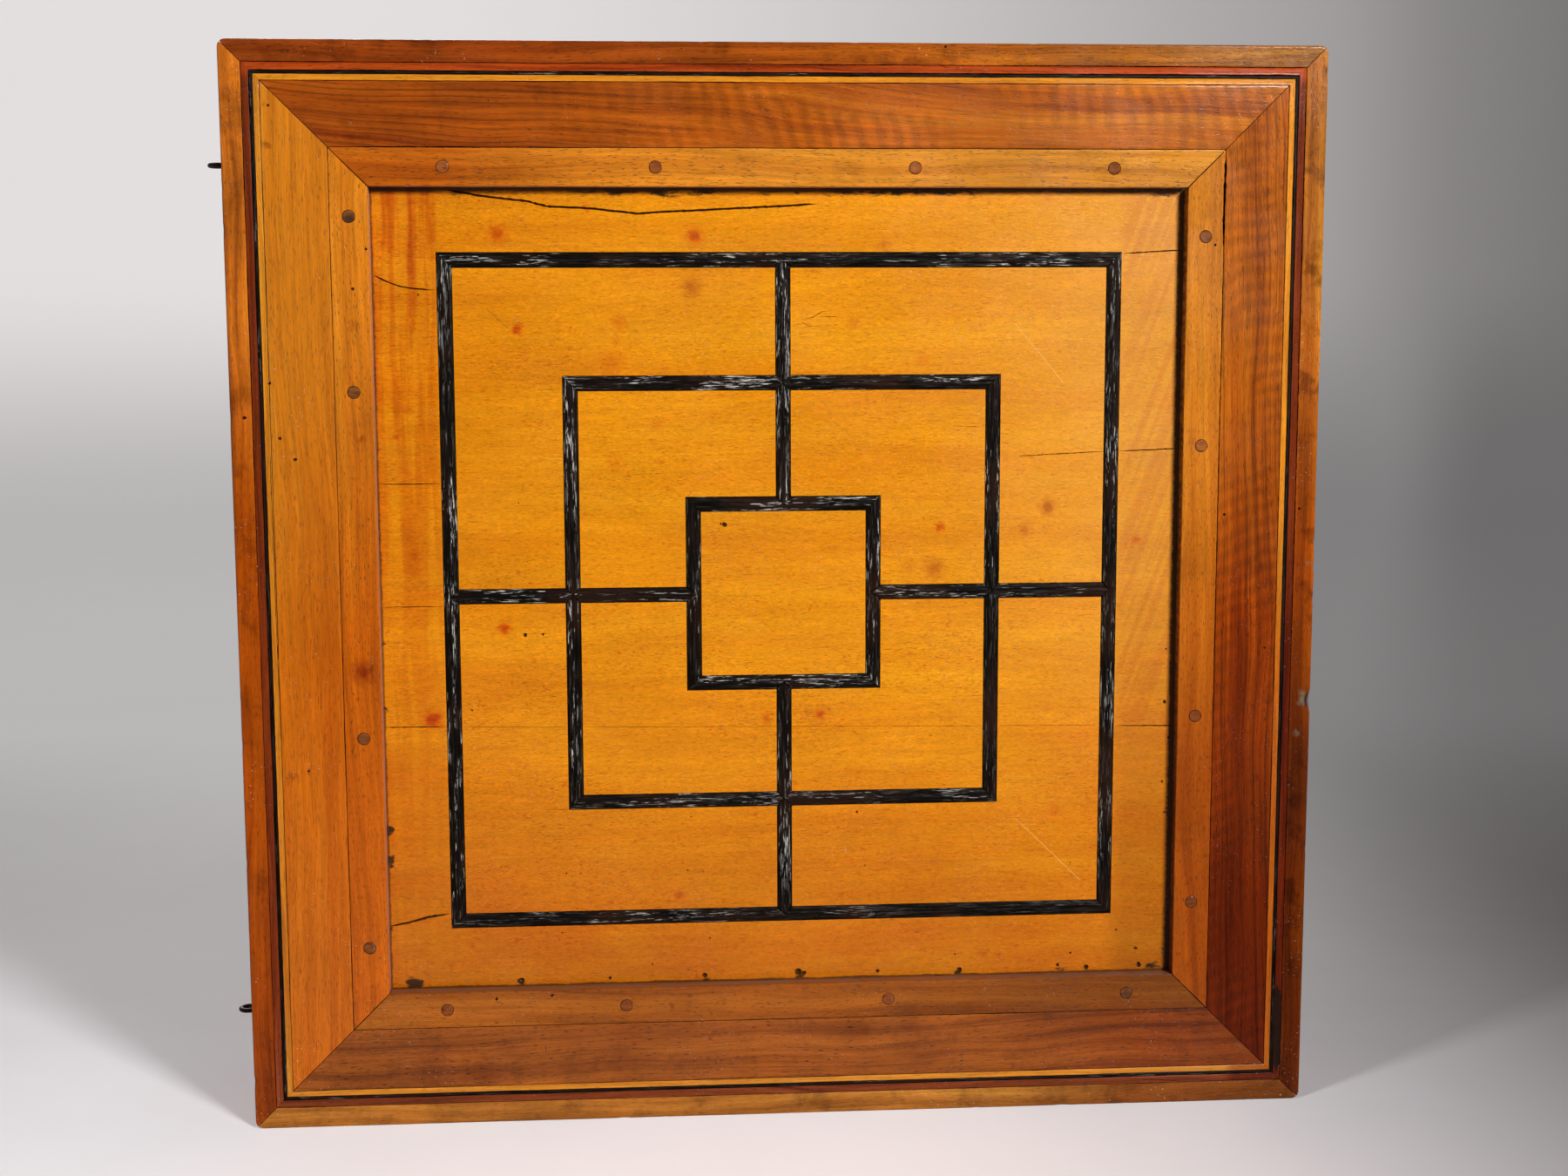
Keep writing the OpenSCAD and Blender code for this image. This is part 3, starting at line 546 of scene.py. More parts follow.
def add_groove(bm, cut, level, seed):
    """Closed V-shaped body along a path, from above the surface down to the cut's depth."""
    half, depth, *points = cut
    over = 0.4
    path = resample(points)
    rings = []
    for i, (x, z, nx, nz) in enumerate(path):
        ends = clamp(0.12 + 0.22 * min(i, len(path) - 1 - i))
        wide = half * ends * (1 + 0.55 * wave(seed, 0.8 * i)) + 0.01
        deep = depth * max(ends, 0.4)
        shift = min(0.16, 0.6 * half) * wave(seed + 1, 0.45 * i)
        x, z, mouth = x + nx * shift, z + nz * shift, wide * (deep + over) / deep
        ring = ((x + nx * mouth, level - over, z + nz * mouth),
                (x - nx * mouth, level - over, z - nz * mouth), (x, level + deep, z))
        rings.append([Vector(p) * MM for p in ring])
    add_tube(bm, rings)


def add_pit(bm, pit, level, seed):
    """Closed uneven cone that cuts a hole of the pit's radius."""
    x, z, radius = pit
    rings = []
    for depth, share in ((-0.4, 1.25), (0.0, 1.0), (0.5 * radius, 0.75), (1.1 * radius, 0.2)):
        ring = []
        for angle in turns(9):
            r = radius * share * (1 + 0.5 * wave(seed, math.cos(angle), math.sin(angle)))
            ring.append(Vector((x + r * math.cos(angle), level + depth, z + r * math.sin(angle))) * MM)
        rings.append(ring)
    add_tube(bm, rings)


def touches(points, sides, low, high):
    """Whether damage at these places reaches a frame member between two half widths."""
    for x, z in points:
        up = z - HALF
        side = (RIGHT if x > 0 else LEFT) if abs(x) > abs(up) else (TOP if up > 0 else BOTTOM)
        if side in sides and low - DAMAGE_REACH < max(abs(x), abs(up)) < high + DAMAGE_REACH:
            return True
    return False


def damage_body(name, cuts, pits, level, seed, wanted, holes=()):
    """Closed bodies that cut the wanted damage, and holes if given, or None if there are none."""
    bm = bmesh.new()
    for i, cut in enumerate(cuts):
        if wanted(cut[2:]):
            add_groove(bm, cut, level, seed + i)
    for i, pit in enumerate(pits):
        if wanted([pit[:2]]):
            add_pit(bm, pit, level, seed + 100 + i)
    for add_holes in holes:
        add_holes(bm)
    if not bm.verts:
        return None
    cutter = mesh_object(name, bm)
    cutter.hide_render = True
    cutter.hide_viewport = True
    return cutter


def cut_by(obj, cutter, crossing=False):
    cut = obj.modifiers.new("cuts", "BOOLEAN")
    cut.object = cutter
    cut.solver = "EXACT"
    cut.use_self = crossing


def carve(obj, sides, low, high, holes=()):
    """Cuts the damage of the face into an own piece and marks its sharp edges again."""
    cutter = damage_body("face_damage", FACE_CUTS, FACE_PITS, -FACE_Y, FACE_SEED,
                         lambda points: touches(points, sides, low, high), holes)
    if cutter:
        cut_by(obj, cutter)
        graph = bpy.context.evaluated_depsgraph_get()
        mesh = bpy.data.meshes.new_from_object(obj.evaluated_get(graph))
        obj.modifiers.clear()
        obj.data = mesh
        shade(mesh)
        bpy.data.objects.remove(cutter)


# Pegs

def peg_seed(side, k):
    return PEG_SEED + 4 * side + k


def peg_ring(side, k, radius, depth):
    """Ring of a peg at a depth behind the face, a little out of round."""
    u, seed = PEG_PLACES[side][k], peg_seed(side, k)
    points = []
    for angle in turns(20):
        r = radius * (1 + 0.04 * wave(seed, math.cos(angle) * 1.3, math.sin(angle) * 1.3))
        points.append(place(side, u + r * math.cos(angle), PEG_ROW + r * math.sin(angle), depth, True))
    return points


def peg_holes(side):
    """Adds the holes of one side's pegs to a cutter."""
    def add(bm):
        for k in range(len(PEG_PLACES[side])):
            add_tube(bm, [peg_ring(side, k, PEG_R + 0.18, depth) for depth in (-1.0, FRAME_T + 1.0)])
    return add


def build_pegs(material):
    bm = bmesh.new()
    for side in range(4):
        for k in range(len(PEG_PLACES[side])):
            proud = 0.06 + 0.08 * (wave(peg_seed(side, k), 3.0) + 0.5)
            rows = ((PEG_R, 7.5), (PEG_R, 0.3), (PEG_R - 0.06, 0.1 - proud * 0.5),
                    (PEG_R - 0.25, -proud * 0.9), (PEG_R * 0.7, -proud),
                    (PEG_R * 0.35, -proud + 0.05), (0.15, -proud + 0.08))
            add_tube(bm, [peg_ring(side, k, radius, depth) for radius, depth in rows])
    finish_piece(mesh_object("mill_pegs_worn", bm), material, True, "mill_pegs")


# Mill lines

ACROSS = (-1.0, -0.97, -0.88, -0.76, -0.62, -0.48, -0.34, -0.2, -0.07,
          0.07, 0.2, 0.34, 0.48, 0.62, 0.76, 0.88, 0.97, 1.0)


def line_depth(seed, a, q):
    """Depth of a line's worn surface at a along it and q across it, -1 to 1."""
    if abs(q) > 0.99:
        return FRAME_T + 0.9
    if abs(q) > 0.9:
        return FRAME_T + 0.12 + 0.2 * wave(seed, a / 7.0, q)
    crown = 0.40 * (1 - abs(q) ** 2.6)
    ridge = 0.34 * wave(seed + 1, a / 26.0, q * 2.7) + 0.17 * wave(seed + 2, a / 7.0, q * 5.2)
    flake = 0.20 if wave(seed + 3, a / 8.0, q * 2.6) > 0.22 else 0.0
    return FRAME_T - clamp(crown + ridge - flake, -0.2, 0.48)


def line_rings(seed, stations, reach_of, edges, point_at):
    """Rings of one bar: its stations are moved by reach_of at pointed or mitred ends."""
    rings = []
    for s in stations:
        top, base = [], []
        for q in ACROSS:
            a = reach_of(s, q)
            low, high = edges(a)
            ragged = 0.13 * wave(seed + 7, a / 3.0) * (1 if q > 0 else -1)
            c = lerp(low + 0.12, high - 0.12, (q + 1) / 2) - (ragged if abs(q) > 0.9 else 0.0)
            top.append(point_at(a, c, line_depth(seed, a, q)))
            base.append(point_at(a, c, FRAME_T + LINE_SEAT))
        rings.append(top + base[::-1])
    return rings


def add_line(bm, seed, low, high, edges, point_at, low_end, high_end):
    """A bar from low to high; each end function gives how far an end draws back at q."""
    def reach_of(s, q):
        near, far = clamp(1 - (s - low) / 8.0), clamp(1 - (high - s) / 8.0)
        return s + low_end(q) * near - high_end(q) * far

    add_tube(bm, line_rings(seed, steps(low, high, LINE_PITCH), reach_of, edges, point_at), split_caps=True)


def mitre_out(q):
    """Draw-back of a mitred end, for a bar whose outer edge is at q = 1."""
    return LINE_W / 2 * (1 - q) + 0.12


def pointed(q):
    return LINE_W / 2 * abs(q) + 0.15


def edges_of(c, kind):
    """Edges of a line at half width c, with the notch in which a spoke's point sits."""
    half = LINE_W / 2

    def edges(a):
        notch = max(0.0, half - abs(a) + 0.15)
        inner, outer = c - half, c + half
        return {"outer": (inner + notch, outer), "inner": (inner, outer - notch)}.get(kind, (inner, outer))
    return edges


def build_lines(material, spoke_material):
    half = LINE_W / 2
    for index, (c, kind) in enumerate(zip(LINES, ("outer", "middle", "inner"))):
        bm = bmesh.new()
        for side in range(4):
            seed = LINE_SEED + 10 * index + side
            end = c + half
            parts = ((seed, -end, end, mitre_out, mitre_out),)
            if kind == "middle":
                parts = (seed, -end, 0.0, mitre_out, pointed), (seed + 5, 0.0, end, pointed, mitre_out)
            for one, low, high, low_end, high_end in parts:
                add_line(bm, one, low, high, edges_of(c, kind), lambda a, w, d: place(side, a, w, d, True),
                         low_end, high_end)
        finish_piece(mesh_object(f"mill_{kind}_square_worn", bm, 50), material, True,
                     f"mill_{kind}_square")
    bm = bmesh.new()
    for side in range(4):
        for high, low in zip(LINES, LINES[1:]):
            add_line(bm, SPOKE_SEED + side + high, low, high, lambda a: (-half, half),
                     lambda a, u, d: place(side, u, a, d, True), pointed, pointed)
    finish_piece(mesh_object("mill_spokes_worn", bm, 50), spoke_material, True, "mill_spokes")


# Shader graphs

class Graph:
    """A node material that is put together by calls; places are in millimetres."""

    def __init__(self, name):
        self.material = bpy.data.materials.new(name)
        self.material.use_nodes = True
        self.tree = self.material.node_tree
        self.tree.nodes.clear()
        coordinate = self.tree.nodes.new("ShaderNodeTexCoord").outputs["Object"]
        self.place = self.vector("SCALE", coordinate, scale=1000.0)
        self.x, self.y, self.z = self.axes = tuple(self.split(self.place))

    def node(self, kind, values, output=0, **settings):
        made = self.tree.nodes.new(kind)
        for key, value in settings.items():
            setattr(made, key, value)
        for key, value in values.items():
            if value is None:
                continue
            if isinstance(value, bpy.types.NodeSocket):
                self.tree.links.new(value, made.inputs[key])
            else:
                made.inputs[key].default_value = value
        return made.outputs[output]

    def vector(self, operation, a, b=None, c=None, scale=None):
        values = {0: a, 1: b, 2: c}
        if scale is not None:
            values["Scale"] = scale
        output = 1 if operation in ("LENGTH", "DISTANCE", "DOT_PRODUCT") else 0
        return self.node("ShaderNodeVectorMath", values, output, operation=operation)

    def math(self, operation, a, b=None, c=None, limit=False):
        return self.node("ShaderNodeMath", {0: a, 1: b, 2: c}, operation=operation, use_clamp=limit)

    def product(self, first, *others):
        for other in others:
            first = self.math("MULTIPLY", first, other)
        return first

    def fit(self, value, scale, shift):
        return self.math("MULTIPLY_ADD", value, scale, shift)

    def plus(self, a, b, limit=False):
        return self.math("ADD", a, b, limit=limit)

    def minus(self, a, b):
        return self.math("SUBTRACT", a, b)

    def size(self, value):
        return self.math("ABSOLUTE", value)

    def split(self, vector):
        made = self.tree.nodes.new("ShaderNodeSeparateXYZ")
        self.tree.links.new(vector, made.inputs[0])
        return made.outputs

    def join(self, x, y, z):
        return self.node("ShaderNodeCombineXYZ", {0: x, 1: y, 2: z})

    def noise(self, vector, size, detail=2.0, rough=0.5):
        """Noise with features of the given size in millimetres: one number, or x, y and z."""
        size = size if isinstance(size, tuple) else (size, size, size)
        scaled = self.vector("DIVIDE", vector, size)
        values = {"Vector": scaled, "Scale": 1.0, "Detail": detail, "Roughness": rough}
        return self.node("ShaderNodeTexNoise", values)

    def span(self, value, low, high, to_low=0.0, to_high=1.0):
        values = {0: value, 1: low, 2: high, 3: to_low, 4: to_high}
        return self.node("ShaderNodeMapRange", values, interpolation_type="SMOOTHSTEP")

    def ramp(self, factor, stops):
        made = self.tree.nodes.new("ShaderNodeValToRGB")
        self.tree.links.new(factor, made.inputs[0])
        points = made.color_ramp.elements
        while len(points) < len(stops):
            points.new(0.5)
        for point, (where, colour) in zip(points, stops):
            point.position = where
            point.color = (*colour, 1.0)
        return made.outputs[0]

    def mix(self, factor, a, b, blend="MIX"):
        a, b = [(*v, 1.0) if isinstance(v, tuple) else v for v in (a, b)]
        values = {0: factor, 6: a, 7: b}
        return self.node("ShaderNodeMix", values, 2, data_type="RGBA", blend_type=blend)

    def tint(self, colour, by):
        return self.mix(1.0, colour, by, "MULTIPLY")

    def times(self, colour, value):
        """Colour multiplied by a grey value."""
        return self.tint(colour, self.join(value, value, value))

    def vary(self, colour, value, low, high, at_low, at_high):
        """Colour whose brightness follows a value."""
        return self.times(colour, self.span(value, low, high, at_low, at_high))

    def tinted(self, colour, factor, by):
        """Colour with a tint where the factor is 1."""
        return self.mix(factor, colour, self.tint(colour, by))

    def choose(self, factor, a, b):
        return self.node("ShaderNodeMix", {0: factor, 2: a, 3: b}, 0, data_type="FLOAT")

    def grain(self, axis):
        """Places along and across the grain. RING follows the sides of the square, SPOKE crosses them."""
        if axis in "XZ":
            return (self.x, self.z) if axis == "X" else (self.z, self.x)
        up = self.minus(self.z, HALF)
        sides = self.size(self.x), self.size(up)
        upright = self.math("GREATER_THAN", *(sides if axis == "RING" else sides[::-1]))
        return self.choose(upright, self.x, self.z), self.choose(upright, self.z, self.x)

    def reach(self):
        """Half width of the square that goes through a point."""
        return self.math("MAXIMUM", self.size(self.x), self.size(self.minus(self.z, HALF)))

    def depth(self):
        """Depth behind the nearer face."""
        return self.minus(FACE_Y, self.size(self.y))

    def strongest(self, factors):
        total = factors[0]
        for factor in factors[1:]:
            total = self.math("MAXIMUM", total, factor)
        return total

    def spots(self, rows):
        """Largest strength of soft uneven spots, each x, z, radius and strength."""
        flat = self.vector("MULTIPLY", self.place, (1.0, 0.0, 1.0))
        scaled = self.vector("DIVIDE", flat, (3.0, 3.0, 3.0))
        drift = self.node("ShaderNodeTexNoise", {"Vector": scaled, "Scale": 1.0, "Detail": 3.0}, 1)
        drift = self.vector("SUBTRACT", drift, (0.5, 0.0, 0.5))
        flat = self.vector("MULTIPLY_ADD", drift, (6.0, 0.0, 3.6), flat)
        flat = self.vector("MULTIPLY", flat, (1.0, 0.0, 1.0))
        return self.strongest([
            self.span(self.vector("DISTANCE", flat, (x, 0.0, z)), 0.1 * r, 1.35 * r, strength, 0.0)
            for x, z, r, strength in rows])

    def segment(self, a, b):
        """Distance from a stretch a to b on the face, given as (x, z)."""
        start, end = Vector((a[0], 0, a[1])), Vector((b[0], 0, b[1]))
        run = end - start
        flat = self.vector("MULTIPLY", self.place, (1.0, 0.0, 1.0))
        offset = self.vector("SUBTRACT", flat, tuple(start))
        share = self.vector("DOT_PRODUCT", offset, tuple(run))
        share = self.math("DIVIDE", share, run.length_squared, limit=True)
        nearest = self.join(self.product(share, run.x), 0.0, self.product(share, run.z))
        return self.vector("DISTANCE", offset, nearest)

    def finish(self, colour, rough, height=None, relief=0.03, **plain):
        """Principled surface; plain values are set on its own sockets."""
        values = {"Base Color": colour, "Roughness": rough, **plain}
        if height is not None:
            values["Normal"] = self.node("ShaderNodeBump", {
                "Height": height, "Strength": 1.0, "Distance": relief * MM})
        shader = self.node("ShaderNodeBsdfPrincipled", values)
        output = self.tree.nodes.new("ShaderNodeOutputMaterial")
        self.tree.links.new(shader, output.inputs[0])
        return self.material


def rgb(r, g, b):
    """Linear colour of an 8-bit display colour."""
    return tuple(c / 255 / 12.92 if c <= 10 else ((c / 255 + 0.055) / 1.055) ** 2.4 for c in (r, g, b))


def tone(*colours):
    return [rgb(*c) for c in colours]


# Wood, ebony and metal

def cell_chance(g, corner, size):
    """Random numbers of each inlaid piece, from the first corner and the size of the cells."""
    flat = g.vector("SUBTRACT", g.place, (corner[0], 0.0, corner[1]))
    flat = g.vector("MULTIPLY", flat, (1.0, 0.0, 1.0))
    cell = g.vector("FLOOR", g.vector("DIVIDE", flat, (size[0], 1.0, size[1])))
    return g.node("ShaderNodeTexWhiteNoise", {"Vector": cell}, 1)


def ringed(g, colour, bent, strength, pitch, keen, turned):
    """Growth rings as dark lines, weaker where the wood turns to curl."""
    ring = g.span(g.noise(bent, (420.0, pitch, pitch), 3.0, 0.6), *keen)
    if turned is not None:
        ring = g.product(ring, g.fit(turned, -0.7, 1.0))
    return g.times(colour, g.fit(ring, -strength, 1.0))


def curled(g, colour, grown, sheared, strength, pitch, turned):
    """Ripples across the grain in patches, stronger where the wood turns to curl."""
    phase = g.product(g.noise(grown, (60.0, 34.0, 34.0)), 16.0)
    swirl = g.math("SINE", g.fit(sheared, 2 * math.pi / pitch, phase))
    figure = g.span(swirl, -1.0, 1.0, 1.0 - strength, 1.0 + 0.8 * strength)
    where = g.span(g.noise(grown, (90.0, 30.0, 30.0), 1.0), 0.34, 0.50)
    if turned is not None:
        where = g.product(where, g.fit(turned, 0.85, 0.15))
    return g.mix(where, colour, g.times(colour, figure))


def dirtied(g, colour, behind, dirt):
    """Dirt in the joints and cracks, where the surface falls away behind the face."""
    inside = g.reach()
    off_ledge = g.size(g.minus(inside, FIELD))
    sunk = g.product(g.span(behind, 0.12, 0.34), g.span(behind, 2.4, 3.6, dirt, 0.0),
                     g.span(inside, HALF - 0.7, HALF - 1.8), g.span(off_ledge, 0.1, 0.7))
    return g.mix(sunk, colour, DIRT)


def painted_glints(g, colour, strength):
    """Pale dots in patches, painted as glints of the varnish."""
    grit = g.span(g.noise(g.place, 0.8, 0.5), 0.74, 0.80)
    patch = g.span(g.noise(g.place, 24.0), 0.48, 0.62, 0.0, strength)
    return g.mix(g.product(grit, patch), colour, GLINT_PALE)


def wood(name, axis, tones, seed=0, broad=(240, 11), slant=0.0, lines=0.0, pitch=3.0, keen=(0.55, 0.68),
         fibre=0.12, thread=0.14, pores=0.35, pore=(3.2, 0.36), curl=0.0, curl_pitch=8.0, curl_lean=0.3,
         clouds=0.10, cloud=(70, 26), dirt=0.9, level=0.0, specks=0.35, rough=(0.17, 0.27), relief=0.04,
         cells=None, extra=None, gloss=0.3, turn=None, grime=0.0):
    """Varnished wood with its face at level. The grain runs along axis; tones go from dark to light."""
    g = Graph(name)
    a, c = g.grain(axis)
    grown = g.vector("ADD", g.join(a, c, g.y), (137.1 * seed, 71.7 * seed, 19.3 * seed))
    if cells:
        chance = cell_chance(g, *cells)
        grown = g.vector("MULTIPLY_ADD", chance, (900.0, 400.0, 0.0), grown)
    lean = g.fit(a, slant, g.product(g.noise(grown, (150.0, 50.0, 50.0)), 16.0))
    bent = g.vector("ADD", grown, g.join(0.0, lean, 0.0))
    figure = g.noise(bent, (broad[0], broad[1], broad[1]), 4.0, 0.6)
    colour = g.ramp(figure, list(zip((0.28, 0.5, 0.74), tones)))
    if cells:
        colour = g.times(colour, g.fit(g.split(chance)[2], 0.36, 0.82))
    turned = g.span(g.axes[turn[0]], turn[1], turn[2]) if turn else None
    if lines:
        colour = ringed(g, colour, bent, lines, pitch, keen, turned)
    clouded = g.noise(grown, (*cloud, cloud[1]), 3.0)
    colour = g.vary(colour, clouded, 0.3, 0.7, 1.0 - clouds, 1.0 + clouds)
    if curl:
        colour = curled(g, colour, grown, g.fit(c, curl_lean, a), curl, curl_pitch, turned)
    fine = g.noise(bent, (14.0, 0.6, 0.6), 3.0, 0.65)
    for strand, share in ((g.noise(bent, (55.0, 2.2, 2.2), 2.0, 0.6), fibre), (fine, thread)):
        colour = g.vary(colour, strand, 0.27, 0.73, 1.0 - share, 1.0 + share)
    hole = g.span(g.noise(bent, (pore[0], pore[1], pore[1]), 0.5), 0.62, 0.72)
    colour = g.times(colour, g.fit(hole, -pores, 1.0))
    if grime:
        patch = g.noise(g.place, 15.0, 4.0, 0.66)
        colour = g.tinted(colour, g.span(patch, 0.50, 0.70, 0.0, grime), (0.34, 0.28, 0.22))
    if extra:
        colour = extra(g, colour)
    behind = g.minus(g.depth(), level)
    if dirt:
        colour = dirtied(g, colour, behind, dirt)
    # Painted glints of the varnish
    if specks:
        colour = painted_glints(g, colour, specks)
    height = g.fit(fine, 0.6, g.product(hole, -1.2))
    height = g.fit(g.noise(g.place, 2.3, 3.0, 0.6), 1.8, height)
    gleam = g.span(g.noise(g.place, 26.0), 0.3, 0.7, *rough)
    dull = g.product(g.span(behind, 1.5, 3.0), 0.44)
    return g.finish(colour, g.plus(gleam, dull), height, relief, **{"Specular IOR Level": gloss})


def ebony(name, axis, glints, relief, seed=0):
    """Worn black wood: dull streaks, and bright glints along the grain that are partly worn scratches and
    partly painted highlights.
    """
    g = Graph(name)
    a, c = g.grain(axis)
    grown = g.vector("ADD", g.join(a, c, g.y), (53.0 * seed, 31.0 * seed, 0.0))
    streak = g.noise(grown, (14.0, 0.6, 0.6), 3.0, 0.65)
    blacks = (0.002, 0.0015, 0.001), (0.007, 0.004, 0.0025), (0.05, 0.036, 0.026)
    colour = g.ramp(streak, list(zip((0.40, 0.56, 0.72), blacks)))
    brown = g.noise(g.place, 40.0)
    colour = g.mix(g.span(brown, 0.46, 0.66, 0.0, 0.8), colour, (0.022, 0.008, 0.004))
    # Pale streaks: worn scratches and painted highlights on the ridges, fewer towards the lower right
    glint = g.span(g.noise(grown, (6.0, 0.45, 0.45), 2.5, 0.65), 0.53, 0.61)
    where = g.span(g.noise(grown, (26.0, 1.6, 1.6), 2.0, 0.6), 0.50, 0.58)
    rubbed = g.product(g.span(g.noise(g.place, 34.0, 1.5), 0.42, 0.56, 0.12, 1.0),
                       g.span(g.minus(g.x, g.z), -300.0, 0.0, 1.0, 0.45))
    colour = g.mix(g.product(glint, where, rubbed, glints), colour, (0.76, 0.72, 0.66))
    rough = g.span(streak, 0.35, 0.65, 0.32, 0.5)
    return g.finish(colour, rough, g.fit(glint, 0.6, streak), relief, **{"Specular IOR Level": 0.08})


def metal(name, clean, dull, rough):
    g = Graph(name)
    patch = g.noise(g.place, 5.0, 4.0, 0.6)
    colour = g.ramp(patch, [(0.35, clean), (0.68, dull)])
    return g.finish(colour, g.span(patch, 0.3, 0.7, *rough), patch, 0.06, Metallic=0.9)


# The mill field

def field_grain(g, colour):
    """Ripple, silk and flecks of the pale wood."""
    wander = g.fit(g.noise(g.place, 9.0, 1.0), 5.0, g.z)
    ripple = g.noise(g.join(g.x, wander, g.y), (3.6, 0.8, 0.8), 2.0, 0.6)
    colour = g.vary(colour, ripple, 0.30, 0.70, 0.91, 1.07)
    silk = g.noise(g.place, (1.7, 1.7, 0.42), 1.5, 0.6)
    colour = g.vary(colour, silk, 0.32, 0.68, 0.89, 1.09)
    fleck = g.noise(g.vector("ADD", g.place, (31.0, 0.0, 7.0)), (2.8, 0.5, 0.5), 1.0)
    return g.tinted(colour, g.span(fleck, 0.62, 0.70, 0.0, 0.7), (0.74, 0.48, 0.30))


def field_margins(g, colour, face):
    """Flames in the left margin, slanting figure in the right one."""
    deep, burnt = g.tint(colour, (0.86, 0.60, 0.34)), g.tint(colour, (0.76, 0.44, 0.20))
    flame = g.noise(g.join(g.fit(g.noise(g.place, 90.0), 12.0, g.x), g.y, g.z), (4.2, 30.0, 90.0), 2.0, 0.55)
    left = g.product(face, g.span(g.x, -139.0, -146.0), g.span(g.z, 170.0, 370.0, 0.45, 1.0),
                     g.span(flame, 0.40, 0.60))
    colour = g.mix(left, colour, burnt)
    lean = g.noise(g.join(g.fit(g.z, -0.36, g.x), g.y, g.z), (3.0, 30.0, 120.0), 2.0, 0.55)
    right = g.product(face, g.span(g.x, 139.0, 146.0), g.span(g.z, 165.0, 169.0),
                      g.span(lean, 0.40, 0.60, 0.05, 0.75))
    return g.mix(right, colour, deep), deep, flame


def field_tone_and_light(g, colour, face, deep, cloudy):
    """Deeper colour low down, at the left and in the lower right, partly painted shade; painted shade low
    down and low in the right margin, pores and ticks, and a paler upper right as painted sheen.
    """
    # Partly painted shade: deeper colour low down, at the left and in the lower right
    low = g.plus(g.span(g.z, 200.0, 60.0), g.span(g.x, -60.0, -170.0, 0.0, 0.45), limit=True)
    low = g.strongest([low, g.product(g.span(g.x, 50.0, 160.0), g.span(g.z, 230.0, 110.0))])
    colour = g.mix(g.product(face, low, g.span(cloudy, 0.25, 0.75, 0.55, 1.0)), colour, deep)
    # Painted shade: darker low down on the face
    colour = g.times(colour, g.choose(face, 1.0, g.span(g.z, 190.0, 60.0, 1.0, 0.80)))
    # Painted shade low in the right margin
    right_margin_shade = g.product(g.span(g.x, 136.0, 148.0), g.span(g.z, 300.0, 90.0, 0.09, 0.24), face)
    colour = g.times(colour, g.minus(1.0, right_margin_shade))
    small = g.span(g.noise(g.place, (4.5, 4.5, 3.4), 2.0, 0.6), 0.62, 0.72)
    small = g.product(small, g.span(cloudy, 0.40, 0.60, 0.1, 0.7), face)
    colour = g.tinted(colour, small, (0.84, 0.50, 0.34))
    tick = g.noise(g.vector("ADD", g.place, (11.0, 0.0, 53.0)), (2.4, 0.5, 0.34), 1.5, 0.6)
    tick = g.product(g.span(tick, 0.64, 0.69), g.span(cloudy, 0.52, 0.62, 0.0, 0.6), face)
    colour = g.mix(tick, colour, (0.10, 0.03, 0.006))
    # Painted sheen: paler towards the upper right
    upper_right_sheen = g.product(g.span(g.x, 40.0, 160.0, 0.0, 0.30), g.span(g.z, 90.0, 300.0), face)
    return g.mix(upper_right_sheen, colour, rgb(230, 172, 84))


def field_marks(g, colour, face, flame):
    """Upright flames, stains, bruises and scratches."""
    upright = g.strongest([g.span(g.segment(a, b), 0.3, wide, strength, 0.0)
                           for a, b, wide, strength in FLAMES])
    upright = g.product(upright, face, g.span(flame, 0.38, 0.58, 0.45, 1.0))
    colour = g.tinted(colour, upright, (0.72, 0.38, 0.16))
    for rows, tint, core in ((STAINS, (0.86, 0.46, 0.20), (0.68, 0.28, 0.08)),
                             (BRUISES, (0.62, 0.40, 0.62), (0.5, 0.3, 0.5))):
        spot = g.product(face, g.spots(rows))
        colour = g.tinted(colour, g.math("MULTIPLY", spot, 1.35, limit=True), tint)
        colour = g.tinted(colour, g.span(spot, 0.35, 0.75, 0.0, 0.7), core)
    for a, b, tint, strength in SCRATCHES:
        colour = g.mix(g.product(face, g.span(g.segment(a, b), 0.08, 0.36, strength, 0.0)), colour, tint)
    return colour


def field_soot_and_shadow(g, colour, face):
    """A dark ragged band under the top edge and along the frame, soot in the corners and in patches, painted
    shadow along the top and right edges, and grime along the left and bottom edges.
    """
    ragged = g.noise(g.place, (9.0, 9.0, 3.0), 5.0, 0.7)
    patchy = g.noise(g.place, 34.0)
    uneven = g.minus(ragged, 0.5)
    near_top = g.product(g.span(g.fit(ragged, 9.0, g.z), 393.6, 395.4),
                         g.span(patchy, 0.44, 0.54, 0.1, 0.95))
    near_side = g.product(g.span(g.fit(ragged, 5.0, g.reach()), 169.0, 170.2),
                          g.span(patchy, 0.50, 0.58, 0.0, 0.9))
    patches = g.span(g.fit(uneven, 2.2, g.spots(SOOT)), 0.40, 0.74, 0.0, 0.92)
    # Painted shadow along the top and right edges, grime along the left and bottom edges
    along = [g.span(g.fit(uneven, 2.0, g.axes[axis]), low, high, 0.0, strength)
             for axis, low, high, strength in SHADOW_AND_GRIME_LINES]
    return g.mix(g.product(face, g.strongest([near_top, near_side, patches, *along])), colour, SOOT_AND_SHADOW_BLACK)


def field_look(g, colour):
    """Figure, age and dirt of the mill field, with painted shade and sheen; the other faces of its planks
    keep the plain wood.
    """
    colour = field_grain(g, colour)
    face = g.span(g.y, FIELD_Y + 1.05, FIELD_Y + 0.25)
    cloudy = g.noise(g.place, (60.0, 60.0, 34.0), 3.0, 0.55)
    colour, deep, flame = field_margins(g, colour, face)
    colour = field_tone_and_light(g, colour, face, deep, cloudy)
    return field_soot_and_shadow(g, field_marks(g, colour, face, flame), face)


# Looks of the frame, the strings and the pegs

